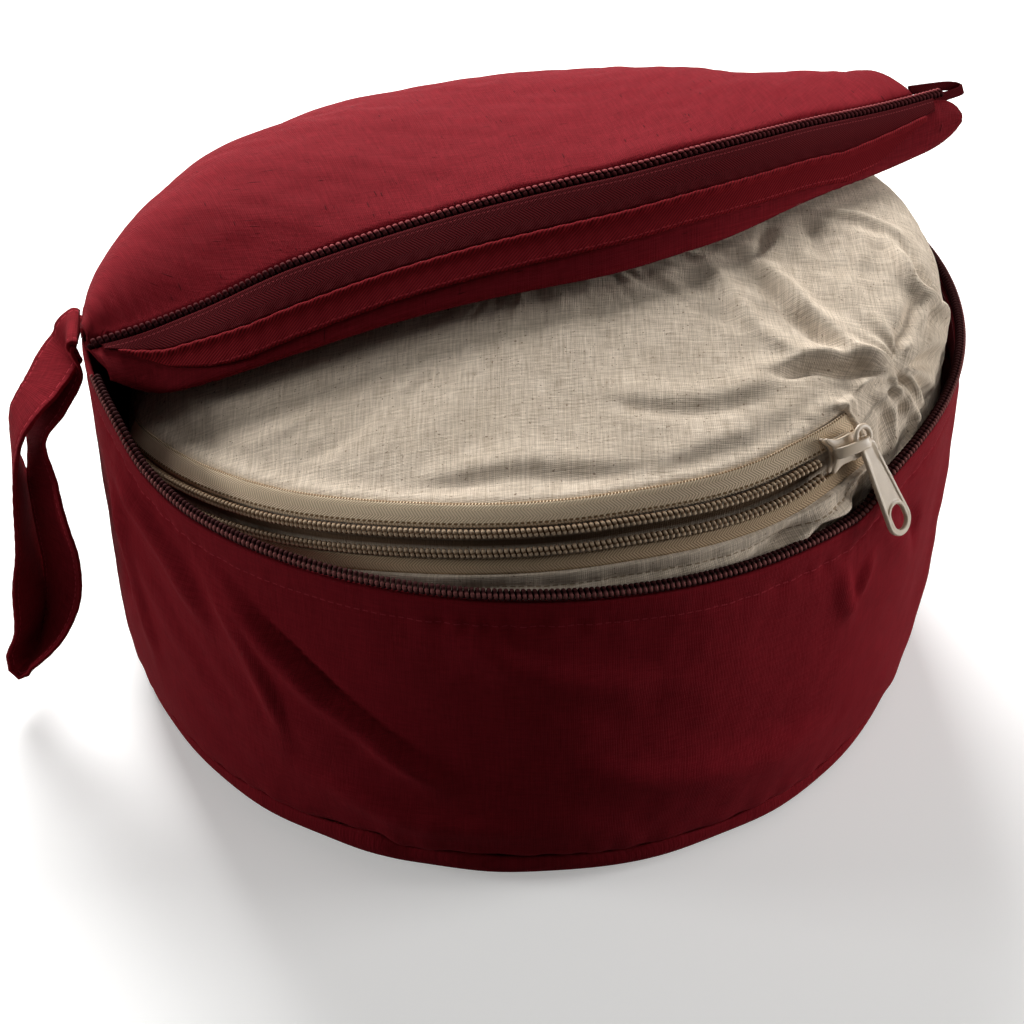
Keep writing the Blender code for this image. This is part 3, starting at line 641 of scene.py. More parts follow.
def ribbed_tape(name, dark, light, pitch, band, thread=None, rows=()):
    """Woven tape: twill ribs painted in the light colour as a highlight, with painted shade in the
    grooves between them, and rows of stitches.
    """
    made, tree, shader = new_material(name, 0.9, {"Specular IOR Level": 0.04})
    flat = add(tree, "UVMap", uv_map="cloth").outputs[0]
    inputs = {"Along": flat, "Pitch mm": pitch, "Band mm": band}
    height = add(tree, "Group", inputs, node_tree=twill_ribs).outputs["Height"]
    # painted highlight on the ribs, painted shade in the grooves
    colour = blend(tree, height, dark, light)
    colour, height = stitched(tree, flat, rows, thread, colour, height, 1.5)
    show(tree, shader, colour, height, 0.0002, 0.7)
    return made


def strip_lengths(grid, down):
    """The lengths along and across a strip: the run of its middle line, and `down` across it."""
    run = run_length(grid[:, grid.shape[1] // 2])
    return beside(run[:, None], down)


def square_to(vectors, ahead):
    """Vectors with their part along `ahead` taken out, at a length of 1."""
    return unit(vectors - ahead * np.sum(vectors * ahead, axis=1, keepdims=True))


def wound(line, outward, radius, pitch=COIL_PITCH, wire=0.5):
    """A monofilament wound as a helix about a line: its path goes once round a circle of that
    radius for each `pitch` along the line, is pinched in over its middle by the sewing thread,
    and a section pressed to an oval, so that the turns nearly touch, is swept along it. Also
    gives, for colouring, a painted highlight: how much each point shows lit as one of the two
    beads of its turn, with painted shade in the groove between them and under the turn; and the
    side of the line it is on, from -1 to 1."""
    length = run_length(line)
    count = int(length[-1] / pitch * COIL_STEPS)
    at = np.linspace(0, length[-1], count)
    middle = along(line, at)
    ahead = unit(np.gradient(middle, axis=0))
    out = square_to(between(length, outward, at), ahead)
    side = np.cross(ahead, out)
    turn = (2 * math.pi * at / pitch)[:, None]
    groove = bell(np.sin(turn), 0.36) * (np.cos(turn) > 0)
    lift = np.cos(turn) * (radius - wire) * (1 - 0.45 * groove)
    spoke = out * lift + side * np.sin(turn) * (radius - wire)
    path = middle + spoke
    tangent = unit(np.gradient(path, axis=0))
    first = square_to(spoke, tangent)
    second = np.cross(tangent, first)
    ring = np.linspace(0, 2 * math.pi, COIL_SIDES + 1)[:-1]
    taper = np.ones((count, 1, 1))
    taper[[0, -1]] = 1e-5  # both ends are closed
    grid = path[:, None] + taper * (
        first[:, None] * np.cos(ring)[:, None] * wire
        + second[:, None] * np.sin(ring)[:, None] * pitch * 0.37
    )
    # painted highlight on the outer half of each turn, with painted shade in the groove where the
    # sewing thread crosses it and on the turn's inner half
    bead = np.clip(1.5 * np.cos(turn), 0, 1) * (1 - groove)
    return np.concatenate([grid, grid[:, :1]], axis=1), bead, np.sin(turn)


def coil_piece(name, grid, shade, finish, slot, *nodes):
    """The wound coil as a closed tube, with `shade`, the painted highlights and shade of its beads,
    in an attribute.
    """
    tube = grid[:, :-1].swapaxes(0, 1)
    run = np.arange(len(grid)) * 0.2
    lengths = beside(run, np.arange(COIL_SIDES + 1)[:, None])
    return grid_piece(name, tube, lengths, finish, slot, *nodes, around_rows=True,
                      merge=MERGE / 5, bead=shade[:, 0])


def nylon(name, dark, light):
    """Zip coil nylon: the light colour painted on each bead as a highlight, and the dark colour as
    painted shade between and under the beads.
    """
    made, tree, shader = new_material(name, 0.75, {"Specular IOR Level": 0.03})
    # the attribute holds each bead's painted highlight
    bead = calc(tree, "MAXIMUM", own_value(tree, "bead"), 0.0)
    share = calc(tree, "POWER", bead, 1.6, clamp=True)
    tree.links.new(blend(tree, share, dark, light), shader.inputs["Base Color"])
    return made


red_tape = ribbed_tape(
    "burgundy_zip_tape", (0.035, 0.002, 0.003, 1), (0.10, 0.005, 0.008, 1), 1.1, 40.0,
    (0.35, 0.16, 0.17, 1), rows=((2.1, 1.6, 0.45),),
)
# the light colour is the beads' painted highlight
red_nylon = nylon("burgundy_zip_coil", (0.016, 0.002, 0.003, 1), (0.36, 0.13, 0.12, 1))
ZIP_LEFT_END, ZIP_CLOSED_END = 202.5, 418.0
azimuths = np.linspace(ZIP_LEFT_END, ZIP_CLOSED_END, 320)
rim = around(RIM, azimuths)
down = np.linspace(0.8, 14.0, 8)
heights = rim[:, None] - down
behind = CLOTH / 2 + 0.6 + TAPE / 2
grid = wall_point(azimuths[:, None], heights, behind - wall_relief(azimuths[:, None], heights))
wall_tape = grid_piece("wall_zip_tape", grid, strip_lengths(grid, down), red_tape,
                       "burgundy_zip_tape", "cover_zip_tape_wall", thickness=TAPE)
line = wall_point(azimuths, rim, 0.4 - wall_relief(azimuths, rim))
line[:, 2] += RED_COIL + 0.45
up_and_out = unit(line * [1, 1, 0]) * 0.5 + [0, 0, 1]
grid, bead, side = wound(line, up_and_out, RED_COIL)
# painted highlights on the beads, stronger on one row than the other as the light falls, with
# painted shade between them
shade = bead * (0.55 + 0.45 * side)
coil_piece("wall_zip_coil", grid, shade, red_nylon, "burgundy_zip_coil", "cover_zip_coil_wall")

# ---- Casing ----
# The filled inner cushion, of speckled unbleached cotton: a crowned top panel and a side, joined
# by a zip. It sits askew, higher at the right, where the cloth is drawn up at the zip's end.

CASING_SHIFT_X = 0.5
CASING_PROFILE = (  # radius, height, from the crown down to the flat underside
    (0.0, 183.0), (30.0, 181.6), (58.0, 177.5), (84.0, 172.0), (106.0, 166.5), (124.0, 161.5),
    (136.0, 157.0), (143.5, 151.5), (148.8, 144.0), (152.8, 135.0), (155.6, 122.0),
    (157.0, 104.0), (157.2, 76.0), (156.4, 48.0), (153.4, 22.0), (149.4, 9.0), (143.0, 2.6),
    (120.0, 2.1), (0.0, 2.1),
)
CASING_ZIP = (  # azimuth, distance from the crown's centre to the zip tape's upper edge
    (199.0, 158.0), (213.0, 151.5), (232.0, 146.0), (257.0, 142.0), (280.0, 144.0),
    (303.0, 150.0), (316.0, 150.5),
)
ZIP_BAND = 22.2  # from the top panel's edge down to the side's folded edge
ZIP_GAP = 12.45  # from the top panel's edge down to the middle of the parted zip
SEAM_BELOW = 8.0  # from the top panel's edge down to the seam behind the zip's two ends
HEM_STITCHES = 4.4  # from the side's folded edge down to its stitches
CASING_CREASES = (  # points (azimuth, distance from the crown), height and half width
    (((337.25, 88.75), (329.25, 108), (325.75, 124.5), (324.25, 139.25), (326.25, 150)), 2.2, 4.5),
    (((334.25, 87.5), (326.25, 106.75), (323, 123.5), (322.25, 137.5)), -1.4, 4.0),
    (((331.25, 72.75), (322, 90.75), (317.5, 107), (318, 123), (323, 139.25)), 1.4, 5.0),
    (((354.25, 88.5), (347.75, 87.75), (340.5, 87.75)), -1.0, 2.8),
    (((353, 92.25), (345.75, 91), (338, 91.25)), 1.1, 3.0),
    (((358.25, 101.75), (351.5, 106.25), (344, 109)), -1.0, 3.5),
    (((357.25, 119.75), (349.5, 122.75), (342, 122.25)), 1.1, 3.4),
    (((361.25, 108.25), (360, 121.5), (356.5, 134.75), (354, 140)), 1.7, 3.4),
    (((354, 132), (348, 137.5), (344, 143.5), (343.5, 151.5), (347.75, 175.25)), 2.8, 3.8),
    (((351, 138.75), (348.5, 145.75), (347.75, 154.75), (350, 170.75)), -1.6, 3.6),
    (((343, 152), (339, 152.75), (334.25, 153), (328.75, 153.5)), 1.8, 3.0),
    (((341, 147.5), (336, 148.25), (331.25, 149.5)), -1.2, 3.4),
    (((329, 156), (335.5, 161), (347, 177.75)), 1.5, 2.8),
    (((328.75, 157), (333, 169), (338.25, 181.75)), 1.5, 2.8),
    (((330, 157), (335.75, 167), (342.75, 178.25)), -1.2, 3.0),
    (((328.75, 157.5), (329.5, 169.5), (331.5, 178.5)), 1.6, 2.4),
    (((326.25, 154), (325.75, 162.5), (327.5, 173.75)), 1.5, 2.4),
    (((327.25, 156), (327.25, 165), (329.5, 176.5)), -1.2, 2.2),
    (((312, 126.25), (316.75, 132), (321, 142.75), (325.25, 153.75)), -2.2, 2.6),
    (((311.75, 121.25), (317.75, 128.5), (322.5, 140), (326.75, 152)), 1.8, 3.2),
    (((318.25, 147.75), (322.25, 149.75), (326, 155.25)), 1.8, 2.6),
    (((318.5, 144.75), (322.5, 147.75), (325.75, 152)), -0.5, 2.2),
    (((309, 145.5), (312.25, 146.5), (315.75, 148)), 0.5, 2.4),
    (((317.2, 149.5), (317.4, 154.5), (318, 162.25), (318.7, 171), (319.5, 178.25)), 0.6, 2.2),
    (((321.25, 154.5), (323.25, 162.5), (323.5, 169), (322.5, 176.25), (320.75, 179.75)), 1.6, 2.6),
    (((319.8, 154), (320.8, 161.25), (321, 167.75), (320, 172.75)), -0.7, 2.6),
    (((326.25, 159.5), (327.75, 168.5), (328, 176.25), (325.75, 181), (322, 183)), 2.4, 2.8),
    (((334.5, 173.25), (331.5, 176.75), (328.75, 183.25), (324.5, 186.25)), -2.0, 2.6),
    (((304.25, 176.75), (306.5, 177.25), (309.5, 179.75), (313, 181.75)), 2.9, 2.4),
    (((305.25, 177.5), (303.75, 180.25), (299.5, 181.75)), 1.8, 2.4),
    (((302.75, 176.5), (300.5, 178), (296.5, 178.5)), -1.6, 2.6),
    (((306.5, 182), (310, 184), (314, 186)), -1.6, 3.0),
    (((283.75, 100.5), (295.75, 115), (308, 124.25), (314.5, 129.25)), 1.0, 5.0),
    (((284.5, 106.5), (296, 121), (307.5, 131.25)), -0.7, 4.5),
    (((250.75, 134.25), (260.5, 128), (269, 126), (278, 129.75), (286.75, 134.75)), 0.8, 4.5),
    (((257.75, 135.5), (268.75, 131.25), (279.5, 136.5)), -0.6, 4.0),
    (((286.75, 138.5), (294.25, 135.75), (303.25, 138.25)), 0.8, 4.5),
    (((222, 140), (226, 130), (230, 112)), 0.7, 5.0),
    (((232, 136), (238, 124), (241, 108)), -0.6, 5.0),
    (((310, 200), (318, 196), (326, 199)), -0.9, 4.0),
    (((340, 190), (334, 200), (332, 215)), 1.0, 5.0),
)
TAB_EDGE = (  # distance, azimuth: the cloth folded over the zip's closed end starts here
    (146.0, 314.2), (150.0, 314.3), (154.5, 314.6), (162.25, 315.3), (171.0, 316.4), (180.0, 318.2),
)
KNOT_AZIMUTH, KNOT_DISTANCE = 328.3, 156.0  # where the cloth is gathered at the zip's closed end
CREASE_RADIUS = 150.0  # at which a crease's azimuths become lengths
CASING_CREASE_STRENGTH = 1.5  # times the heights in the table
SIDE_RADIUS = 156.0
CASING_TILT = 0.128  # how much it rises for each step to the right
ZIP_START, ZIP_END = 199.0, 316.0  # azimuths of the parted zip's ends
casing_line = through(CASING_PROFILE, 600)
casing_length = full_length(casing_line)
casing_line = np.maximum(casing_line, (0, CASING_PROFILE[-1][1]))


def casing_point(azimuth, distance, out=0.0):
    """A point of the casing `distance` from the crown's centre, or `out` from its cloth: the
    profile turned about the upright axis, then tilted up to the right above its waist."""
    azimuth, distance = np.broadcast_arrays(azimuth, np.asarray(distance, float))
    here = along(casing_line, distance)
    ahead = along(casing_line, distance + 1.0) - along(casing_line, distance - 1.0)
    ahead = unit(np.where(np.abs(ahead) > 1e-9, ahead, 1e-9))
    radius = here[..., 0] - ahead[..., 1] * out
    height = here[..., 1] + ahead[..., 0] * out
    part = ramp(40.0, 128.0, here[..., 1])
    full = np.clip(np.cos(np.radians(azimuth - 12.0)), 0, 1) ** 1.5
    full = full * np.clip(radius / 150.0, 0, 1) ** 2
    height = height + part * (CASING_TILT * radius * np.cos(np.radians(azimuth)) + 8.5 * full)
    return turned(azimuth, radius + part * 1.2 * full, height, CASING_SHIFT_X)


def zip_edge(azimuth):
    """How far the zip tape's upper edge is from the crown, along the cloth."""
    keys, values = np.array(CASING_ZIP).T
    return smooth(keys, values, azimuth)


def casing_lengths(azimuth, distance, seam):
    """The weave's directions: the top panel's cloth lies flat across the crown, and the side's
    runs round it. They change over at `seam`, which the zip covers at the front."""
    turn = np.radians(azimuth)
    top = beside(distance * np.cos(turn), distance * np.sin(turn))
    side = beside(turn * SIDE_RADIUS, distance)
    return np.where((distance > seam)[..., None], side, top)


def filled_swell(azimuths, stops):
    """How far the filling pushes the cloth out, from a cloth simulation: a coarse copy of the
    casing, drawn in a little, is blown up by its filling while the zip and the underside hold it.
    Only the way each point moves along its own outward line is kept, and it is capped."""
    start = casing_point(azimuths[:, None], stops, -2.2)
    cad = casing_point(azimuths[:, None], stops)
    out = unit(casing_point(azimuths[:, None], stops, 1.0) - cad)
    count, columns = start.shape[:2]
    mesh = grid_mesh("filling", start, np.zeros((count + 1, columns, 2)), True)
    trial = bpy.data.objects.new("filling", mesh)
    bpy.context.scene.collection.objects.link(trial)
    held = trial.vertex_groups.new(name="held")
    from_zip = stops - zip_edge(np.clip(azimuths, ZIP_START, ZIP_END))[:, None]
    seamed = (np.abs(from_zip - 9) < 7) | (start[..., 2] < 9) | (stops < 14)
    held.add(np.flatnonzero(seamed.ravel()).tolist(), 1.0, "REPLACE")
    cloth = trial.modifiers.new("Cloth", "CLOTH")
    cloth.settings.use_pressure = True
    cloth.settings.uniform_pressure_force = 4.0
    cloth.settings.vertex_group_mass = "held"
    cloth.settings.effector_weights.gravity = 0.0
    for number in range(1, 21):
        bpy.context.scene.frame_set(number)
    graph = bpy.context.evaluated_depsgraph_get()
    result = trial.evaluated_get(graph).to_mesh()
    moved = np.empty(count * columns * 3, np.float32)
    result.vertices.foreach_get("co", moved)
    moved = moved.reshape(start.shape) / MM
    bpy.data.objects.remove(trial)
    bpy.context.scene.frame_set(1)
    return np.clip(np.sum((moved - cad) * out, axis=-1), -2.2, 0.5)


def finer(values, rows, columns, new_rows, new_columns):
    """A coarse field of values read at a finer grid, straight between its points."""
    across = np.stack([np.interp(new_columns, columns, row) for row in values])
    return np.stack([np.interp(new_rows, rows, column) for column in across.T], axis=-1)


# the columns stand closest at the zip's closed end, and furthest apart behind
azimuths = np.concatenate([np.linspace(190, 306, 150)[:-1], np.linspace(306, 338, 121)[:-1],
                           np.linspace(338, 385, 72), np.linspace(385, 550, 62)[1:-1]])
start, end = zip_edge(ZIP_START), zip_edge(ZIP_END)
edge = np.where(azimuths > 358, end + (start - end) * ramp(358, 550, azimuths), zip_edge(azimuths))
panel_edge = edge[:, None]
KNOTS = (0, 12, 78, 92, 93, 108, 109, 129, 165, 186)  # rows of the grid at which its pace changes
knot_stops = beside(
    0.0, 50.0, edge - 7, edge - 0.35, edge, edge + ZIP_BAND - 0.3, edge + ZIP_BAND + 0.1,
    edge + ZIP_BAND + 12, 235.0, casing_length,
)
stops = np.array([np.interp(np.arange(KNOTS[-1] + 1), KNOTS, row) for row in knot_stops])

coarse = np.linspace(0, len(azimuths) - 1, 100).round().astype(int)
coarse_rows = np.linspace(2, KNOTS[-1] - 2, 60).round().astype(int)
swell = filled_swell(azimuths[coarse], stops[np.ix_(coarse, coarse_rows)])
swell = finer(swell, coarse, coarse_rows, np.arange(len(azimuths)), np.arange(KNOTS[-1] + 1))

# the filling's swell and unevenness, the pleats round the zip's end and the creases
at = azimuths[:, None]
x = np.radians(at) * CREASE_RADIUS
relief = swell * ramp(0, 40, stops) + 0.35 * ripples(x, stops, 48, 21)
relief = relief + 0.12 * ripples(x, stops, 13, 22)
relief = relief + 0.5 * ripples(x, stops, 19, 23) * (ramp(300, 318, at) * fall(345, 372, at))
knot_x, knot_y = x - math.radians(KNOT_AZIMUTH) * CREASE_RADIUS, stops - KNOT_DISTANCE
from_knot = np.hypot(knot_x, knot_y)
star = np.sin(np.arctan2(knot_y, knot_x) * 11 + 1.6 * ripples(x, stops, 60, 26))
relief = relief + 0.75 * star * ramp(2, 9, from_knot) * bell(from_knot, 27)
relief = creased(relief, x, stops, CASING_CREASES, CREASE_RADIUS, CASING_CREASE_STRENGTH)

# the two folded edges beside the zip, the band between them and the stitches below
from_edge = stops - panel_edge
lower = from_edge - ZIP_BAND
zipped = ramp(192, 199, at) * fall(316.2, 318.0, at)
pucker, wave = gathers(x, 8.0, 2.4, 40, 24), ripples(x, x * 0, 42, 25)
on_top, below = fall(0.0, 0.3, from_edge), ramp(-0.25, 0.05, lower)
top_edge = 1.5 * ramp(-9, -1.5, from_edge) - 0.35 * pucker * bell(from_edge + 4, 2)
low_edge = (1.9 + 0.5 * wave) * fall(1.2, 14, lower) + 1.0 * bell(lower, 2.2)
low_edge = low_edge - 0.7 * bell(lower - HEM_STITCHES, 1.0)
low_edge = low_edge - 0.45 * pucker * bell(lower - HEM_STITCHES, 2.6)
front = ramp(222, 236, at) * fall(306, 318, at)
low_edge = low_edge + (4.3 + 0.6 * wave) * bell(lower - 8.5, 6) * front
band = (1 - on_top) * (1 - below)
held = np.clip(bell(from_edge, 4.0) + bell(lower, 4.0), 0, 1)
relief = relief * (1 - zipped * np.maximum(band, 0.6 * held))
relief = relief + zipped * (on_top * top_edge + below * low_edge - 0.5 * band)

# the seam behind the zip's two ends, and the cloth folded over its closed end
sewn = bell(from_edge - SEAM_BELOW - 0.7, 1.5) * (0.75 + 0.25 * pucker)
relief = relief - 1.1 * sewn * ramp(318, 324, at) * fall(545, 549, at)
past_tab = at - np.interp(stops, *np.array(TAB_EDGE).T)
tab = 1.9 * (ramp(-0.1, 0.3, past_tab) * fall(1.5, 8.5, past_tab))
tab = tab + 1.1 * bell(past_tab - 0.5, 0.45)
relief = relief + tab * ramp(146.5, 149.5, stops) * fall(180, 188, stops)
relief = np.where(stops > 200, np.minimum(relief, 1.0), relief)
relief = relief * fall(250, casing_length - 30, stops)
grid = casing_point(at, stops, relief)
grid[:, 0] = casing_point(0.0, 0.0) * [0, 0, 1] + [CASING_SHIFT_X, 0, 0]
grid[:, -1] = [CASING_SHIFT_X, 0, CASING_PROFILE[-1][1]]
closed = np.append(azimuths, azimuths[0] + 360)
closed_stops = np.concatenate([stops, stops[:1]])
closed_seam = np.append(panel_edge, panel_edge[0])[:, None] + SEAM_BELOW
lengths = casing_lengths(closed[:, None], closed_stops, closed_seam)


def speckled_cotton(name):
    """Unbleached plain weave with brown flecks of seed husk, dark stitches that hold down the
    side's folded edge, and painted shade, dark brown, where the attribute "inside" is 1: the gap
    between the parted zip's coils, where the cushion's inside shows."""
    made, tree, shader = new_material(name, 0.92, {"Specular IOR Level": 0.15})
    flat = add(tree, "UVMap", uv_map="cloth").outputs[0]
    threads = (0.50, 0.40, 0.30, 1), (0.84, 0.715, 0.575, 1)
    colour, height = woven(tree, flat, 0.62, 1.0, *threads)
    place = add(tree, "TexCoord").outputs["Object"]
    flecks = few_spots(tree, noise(tree, place, 900.0, 1.0), 0.70, 20.0)
    colour = blend(tree, times(tree, flecks, 0.75), colour, (0.16, 0.095, 0.055, 1))
    clouds = few_spots(tree, noise(tree, place, 24.0, 3.0), 0.5, 0.6)
    colour = blend(tree, clouds, colour, (0.50, 0.39, 0.26, 1))
    ahead = add(tree, "SeparateXYZ", {0: flat}).outputs[0]
    along_hem = add(tree, "CombineXYZ", {0: ahead, 1: own_value(tree, "below_hem")}).outputs[0]
    mask = stitches(tree, along_hem, HEM_STITCHES, 2.7, 0.45)
    colour = blend(tree, mask, colour, (0.36, 0.27, 0.18, 1))
    # painted shade in the gap between the parted coils
    colour = blend(tree, own_value(tree, "inside"), colour, (0.12, 0.068, 0.036, 1))
    show(tree, shader, colour, height, WEAVE_RELIEF)
    return made


cream = speckled_cotton("unbleached_cotton")
# where the painted shade of the zip's gap falls, between the parted coils
zip_gap_shade = np.exp(-(((from_edge - ZIP_GAP) / 1.7) ** 4)) * zipped * fall(308, 312, at)
casing_cloth = grid_piece(
    "casing_cloth", grid, lengths, cream, "unbleached_cotton", "casing", around_rows=True,
    merge=MERGE, below_hem=np.where(zipped > 0.5, lower, 99.0) * MM, inside=zip_gap_shade,
)

# ---- Zip on the casing ----
# Both halves of a beige coil zip, parted along the front and meeting at the slider. The upper
# tape is herringbone, each coil lies on its tape's edge, and the lower tape, the same tape, is
# painted darker as shade.

BEIGE_COIL = 1.6  # half the coil's width
BESIDE_COIL = 0.35  # from a coil to its tape, and between the joined coils
UPPER_TAPE_WIDTH, COILS_APART, LOWER_TAPE_WIDTH = 7.6, 5.8, 4.7
SLIDER_AT = 312.0  # its azimuth
azimuths = np.linspace(ZIP_START, 317.5, 262)
together = np.clip((azimuths - SLIDER_AT + 7) / 7, 0, 1)
apart = COILS_APART - (COILS_APART - 2 * BEIGE_COIL - BESIDE_COIL) * together
upper = zip_edge(azimuths) + UPPER_TAPE_WIDTH + BEIGE_COIL + BESIDE_COIL + (COILS_APART - apart) / 2
lower = upper + apart
# The first row of dark dashes, just below the tape's upper edge, is painted shadow under the top
# panel's folded edge; the second row is the tape's stitches.
beige_tape = ribbed_tape(
    "beige_zip_tape", (0.50, 0.365, 0.23, 1), (0.88, 0.705, 0.505, 1), 1.05, 2.4,
    (0.24, 0.15, 0.08, 1), rows=((0.35, 1.1, 0.7), (6.6, 1.9, 0.7)),
)
# the lower tape: the beige tape again, painted darker as shade
shaded_lower_tape = ribbed_tape(
    "lower_zip_tape_painted_shade", (0.34, 0.23, 0.135, 1), (0.66, 0.49, 0.32, 1), 1.05, 2.4
)
# the light colour is the beads' painted highlight, the dark one painted shade between them
beige_nylon = nylon("beige_zip_coil", (0.17, 0.095, 0.05, 1), (0.80, 0.62, 0.43, 1))
share = np.linspace(0, 1, 7)
for name, edge, width, node, finish, last in (  # `last` is where the folded cloth hides the tape
    ("casing_upper_tape", upper - BEIGE_COIL - BESIDE_COIL, -UPPER_TAPE_WIDTH,
     "casing_zip_tape_top", beige_tape, 315.9),
    ("casing_lower_tape", lower + BEIGE_COIL + BESIDE_COIL, LOWER_TAPE_WIDTH,
     "casing_zip_tape_bottom", shaded_lower_tape, 317.5),
):
    bare = azimuths <= last
    across = (edge[:, None] + share * width)[bare]
    grid = casing_point(azimuths[bare, None], across, 0.6 + TAPE / 2)
    down = share * width if width > 0 else (1 - share) * -width
    tape = grid_piece(name, grid, strip_lengths(grid, down), finish, "beige_zip_tape", node,
                      thickness=TAPE)
left = azimuths < SLIDER_AT - 3.6  # the coils run into the slider
for name, line, node in (
    ("casing_upper_coil", upper, "casing_zip_coil_top"),
    ("casing_lower_coil", lower, "casing_zip_coil_bottom"),
):
    points = casing_point(azimuths, line, 0.6 + BEIGE_COIL)[left]
    outward = unit(casing_point(azimuths, line, 6.0)[left] - points)
    grid, bead, side = wound(points, outward, BEIGE_COIL)
    # painted highlights on the beads, a little stronger on one row than the other
    coil_piece(name, grid, bead * (0.85 + 0.15 * side), beige_nylon, "beige_zip_coil", node)

# ---- Lid ----
# One disc of slubby burgundy cotton, still sewn to the rim behind. It is folded back on itself
# over the casing: a top layer, tucked layers beneath, and a flap that hangs in front.

LID_SECTIONS = (  # share from left to right; the zip edge's x, y, z and the flap's lower roll's;
    # depth of the tuck; the back edge's azimuth, how far out and up it is; the top's rise
    (0.00, -154.6, -47.0, 156.0, -146.0, -58.0, 148.0, 1.0, 192.0, 0.0, 0.0, 2.0),
    (0.06, -137.0, -45.0, 161.0, -132.0, -63.0, 146.5, 8.0, 178.0, 0.0, 0.0, 8.0),
    (0.14, -115.0, -42.0, 168.6, -113.0, -67.0, 152.0, 14.0, 163.0, 0.0, 0.0, 12.0),
    (0.25, -79.0, -38.0, 184.6, -78.0, -65.0, 164.0, 20.0, 144.0, 0.0, 0.0, 10.0),
    (0.36, -44.0, -31.0, 194.0, -44.0, -60.0, 173.5, 24.0, 125.0, 0.0, 0.0, 5.0),
    (0.47, -9.0, -25.0, 202.0, -9.0, -55.0, 180.5, 26.0, 108.0, 0.0, 0.0, 0.0),
    (0.58, 26.0, -17.0, 207.0, 26.0, -48.0, 184.5, 26.0, 93.0, 0.0, 0.0, -2.0),
    (0.69, 62.0, -1.0, 209.0, 61.0, -32.0, 187.0, 22.0, 78.0, 0.0, 0.0, -3.0),
    (0.81, 100.0, 28.0, 204.5, 99.0, 0.0, 186.5, 16.0, 62.0, 0.0, 0.0, -1.0),
    (0.92, 140.0, 61.0, 197.0, 138.0, 38.0, 181.5, 9.0, 47.0, 5.0, 24.0, 1.0),
    (1.00, 175.0, 92.0, 191.0, 171.0, 71.0, 178.5, 5.0, 33.5, 33.0, 44.0, 1.0),
)


def lid_section(at, count=150):
    """One section across the folded lid, from its back edge to its zip edge: forward over the
    top, back under it, forward again under that, and up the front of the flap."""
    table = np.array(LID_SECTIONS)
    row = np.array([float(smooth(table[:, 0], column, at)) for column in table.T])
    zip_at, roll = row[1:4], row[4:7]
    tuck, back_azimuth, back_out, back_lift, rise = row[7:]
    rim = float(around(RIM, back_azimuth))
    back = wall_point(back_azimuth, rim, -back_out)
    back[2] = rim + 0.6 + back_lift
    away = np.array([back[0] - zip_at[0], back[1] - zip_at[1], 0.0])
    reach = np.linalg.norm(away)
    away /= reach
    up = np.array([0.0, 0.0, 1.0])
    step = min(7.0, 0.3 * reach)
    layer = np.clip(0.24 * (zip_at[2] - roll[2]), 2.2, 5.4)
    top = zip_at + away * step + up * 0.6
    part = np.array([0.0, 0.02, 0.07, 0.16, 0.3, 0.47, 0.65, 0.83])[:, None]
    high = (1 - (1 - part) ** 2.6) ** (1 / 1.6)
    top_layer = back + (top - back) * part
    top_layer[:, 2:] = back[2] + (top[2] - back[2] + 4 * rise * part * (1 - part)) * high
    half = layer / 2
    folds = [
        top,
        zip_at + away * (4.6 - half * 0.4) - up * half * 0.6,
        zip_at + away * step - up * layer,
        zip_at + away * (step + tuck) - up * layer,
        zip_at + away * (step + tuck + half * 1.2) - up * layer * 1.5,
        zip_at + away * (step + tuck) - up * layer * 2,
        zip_at * 0.45 + (roll + away * 8) * 0.55 + up * 1.0 - up * layer * 1.0,
        roll + away * 5.0 + up * 1.4,
        roll + away * 0.6 + up * 0.9,
        roll - away * 0.9 + up * 3.6,
    ]
    lean = unit(np.cross(np.cross(away, up), unit(zip_at - roll)))
    lean = lean if lean[2] < 0 or np.dot(lean, away) < 0 else -lean
    middle = 0.5 * (roll + zip_at) + lean * 3.0
    edge = zip_at + unit(roll - zip_at) * (RED_COIL + 0.75)
    return through(np.vstack([top_layer, folds, [middle, edge]]), count)


LID_ACROSS, LID_ALONG, FLAP_ALONG = 216, 210, 57
at = np.linspace(0, 1, LID_ACROSS)
sections = np.array([lid_section(each, 400) for each in at])
total_spans = np.linalg.norm(np.diff(sections, axis=1), axis=2).sum(axis=1)
grid, from_zip = [], []
for section, total in zip(sections, total_spans):
    flap = min(44.0, 0.45 * total)
    distances = np.concatenate([np.linspace(0, total - flap, LID_ALONG - FLAP_ALONG + 1)[:-1],
                                np.linspace(total - flap, total, FLAP_ALONG)])
    grid.append(along(section, distances))
    from_zip.append(total - distances)
grid, from_zip = np.array(grid), np.array(from_zip)

# behind, the cloth is drawn back from the tip; at the tip, the flap's roll shrinks to its end
above = ramp(26, 46, from_zip)
drawn_back = at[:, None] - 0.62 * above * np.maximum(at - 0.925, 0)[:, None]
for j in range(LID_ALONG):
    grid[:, j] = between(at, grid[:, j], drawn_back[:, j])
roll_end = np.clip((at - 0.962) / 0.038, 0, 1)
shrink = np.maximum(np.sqrt(1 - roll_end**2), 0.16)
middle = np.stack([section[-40:-4].mean(axis=0) for section in grid])[:, None]
share = (1 - above)[..., None] * np.minimum(1, 12 * roll_end)[:, None, None]
grid = grid + (middle + (grid - middle) * shrink[:, None, None] - grid) * share

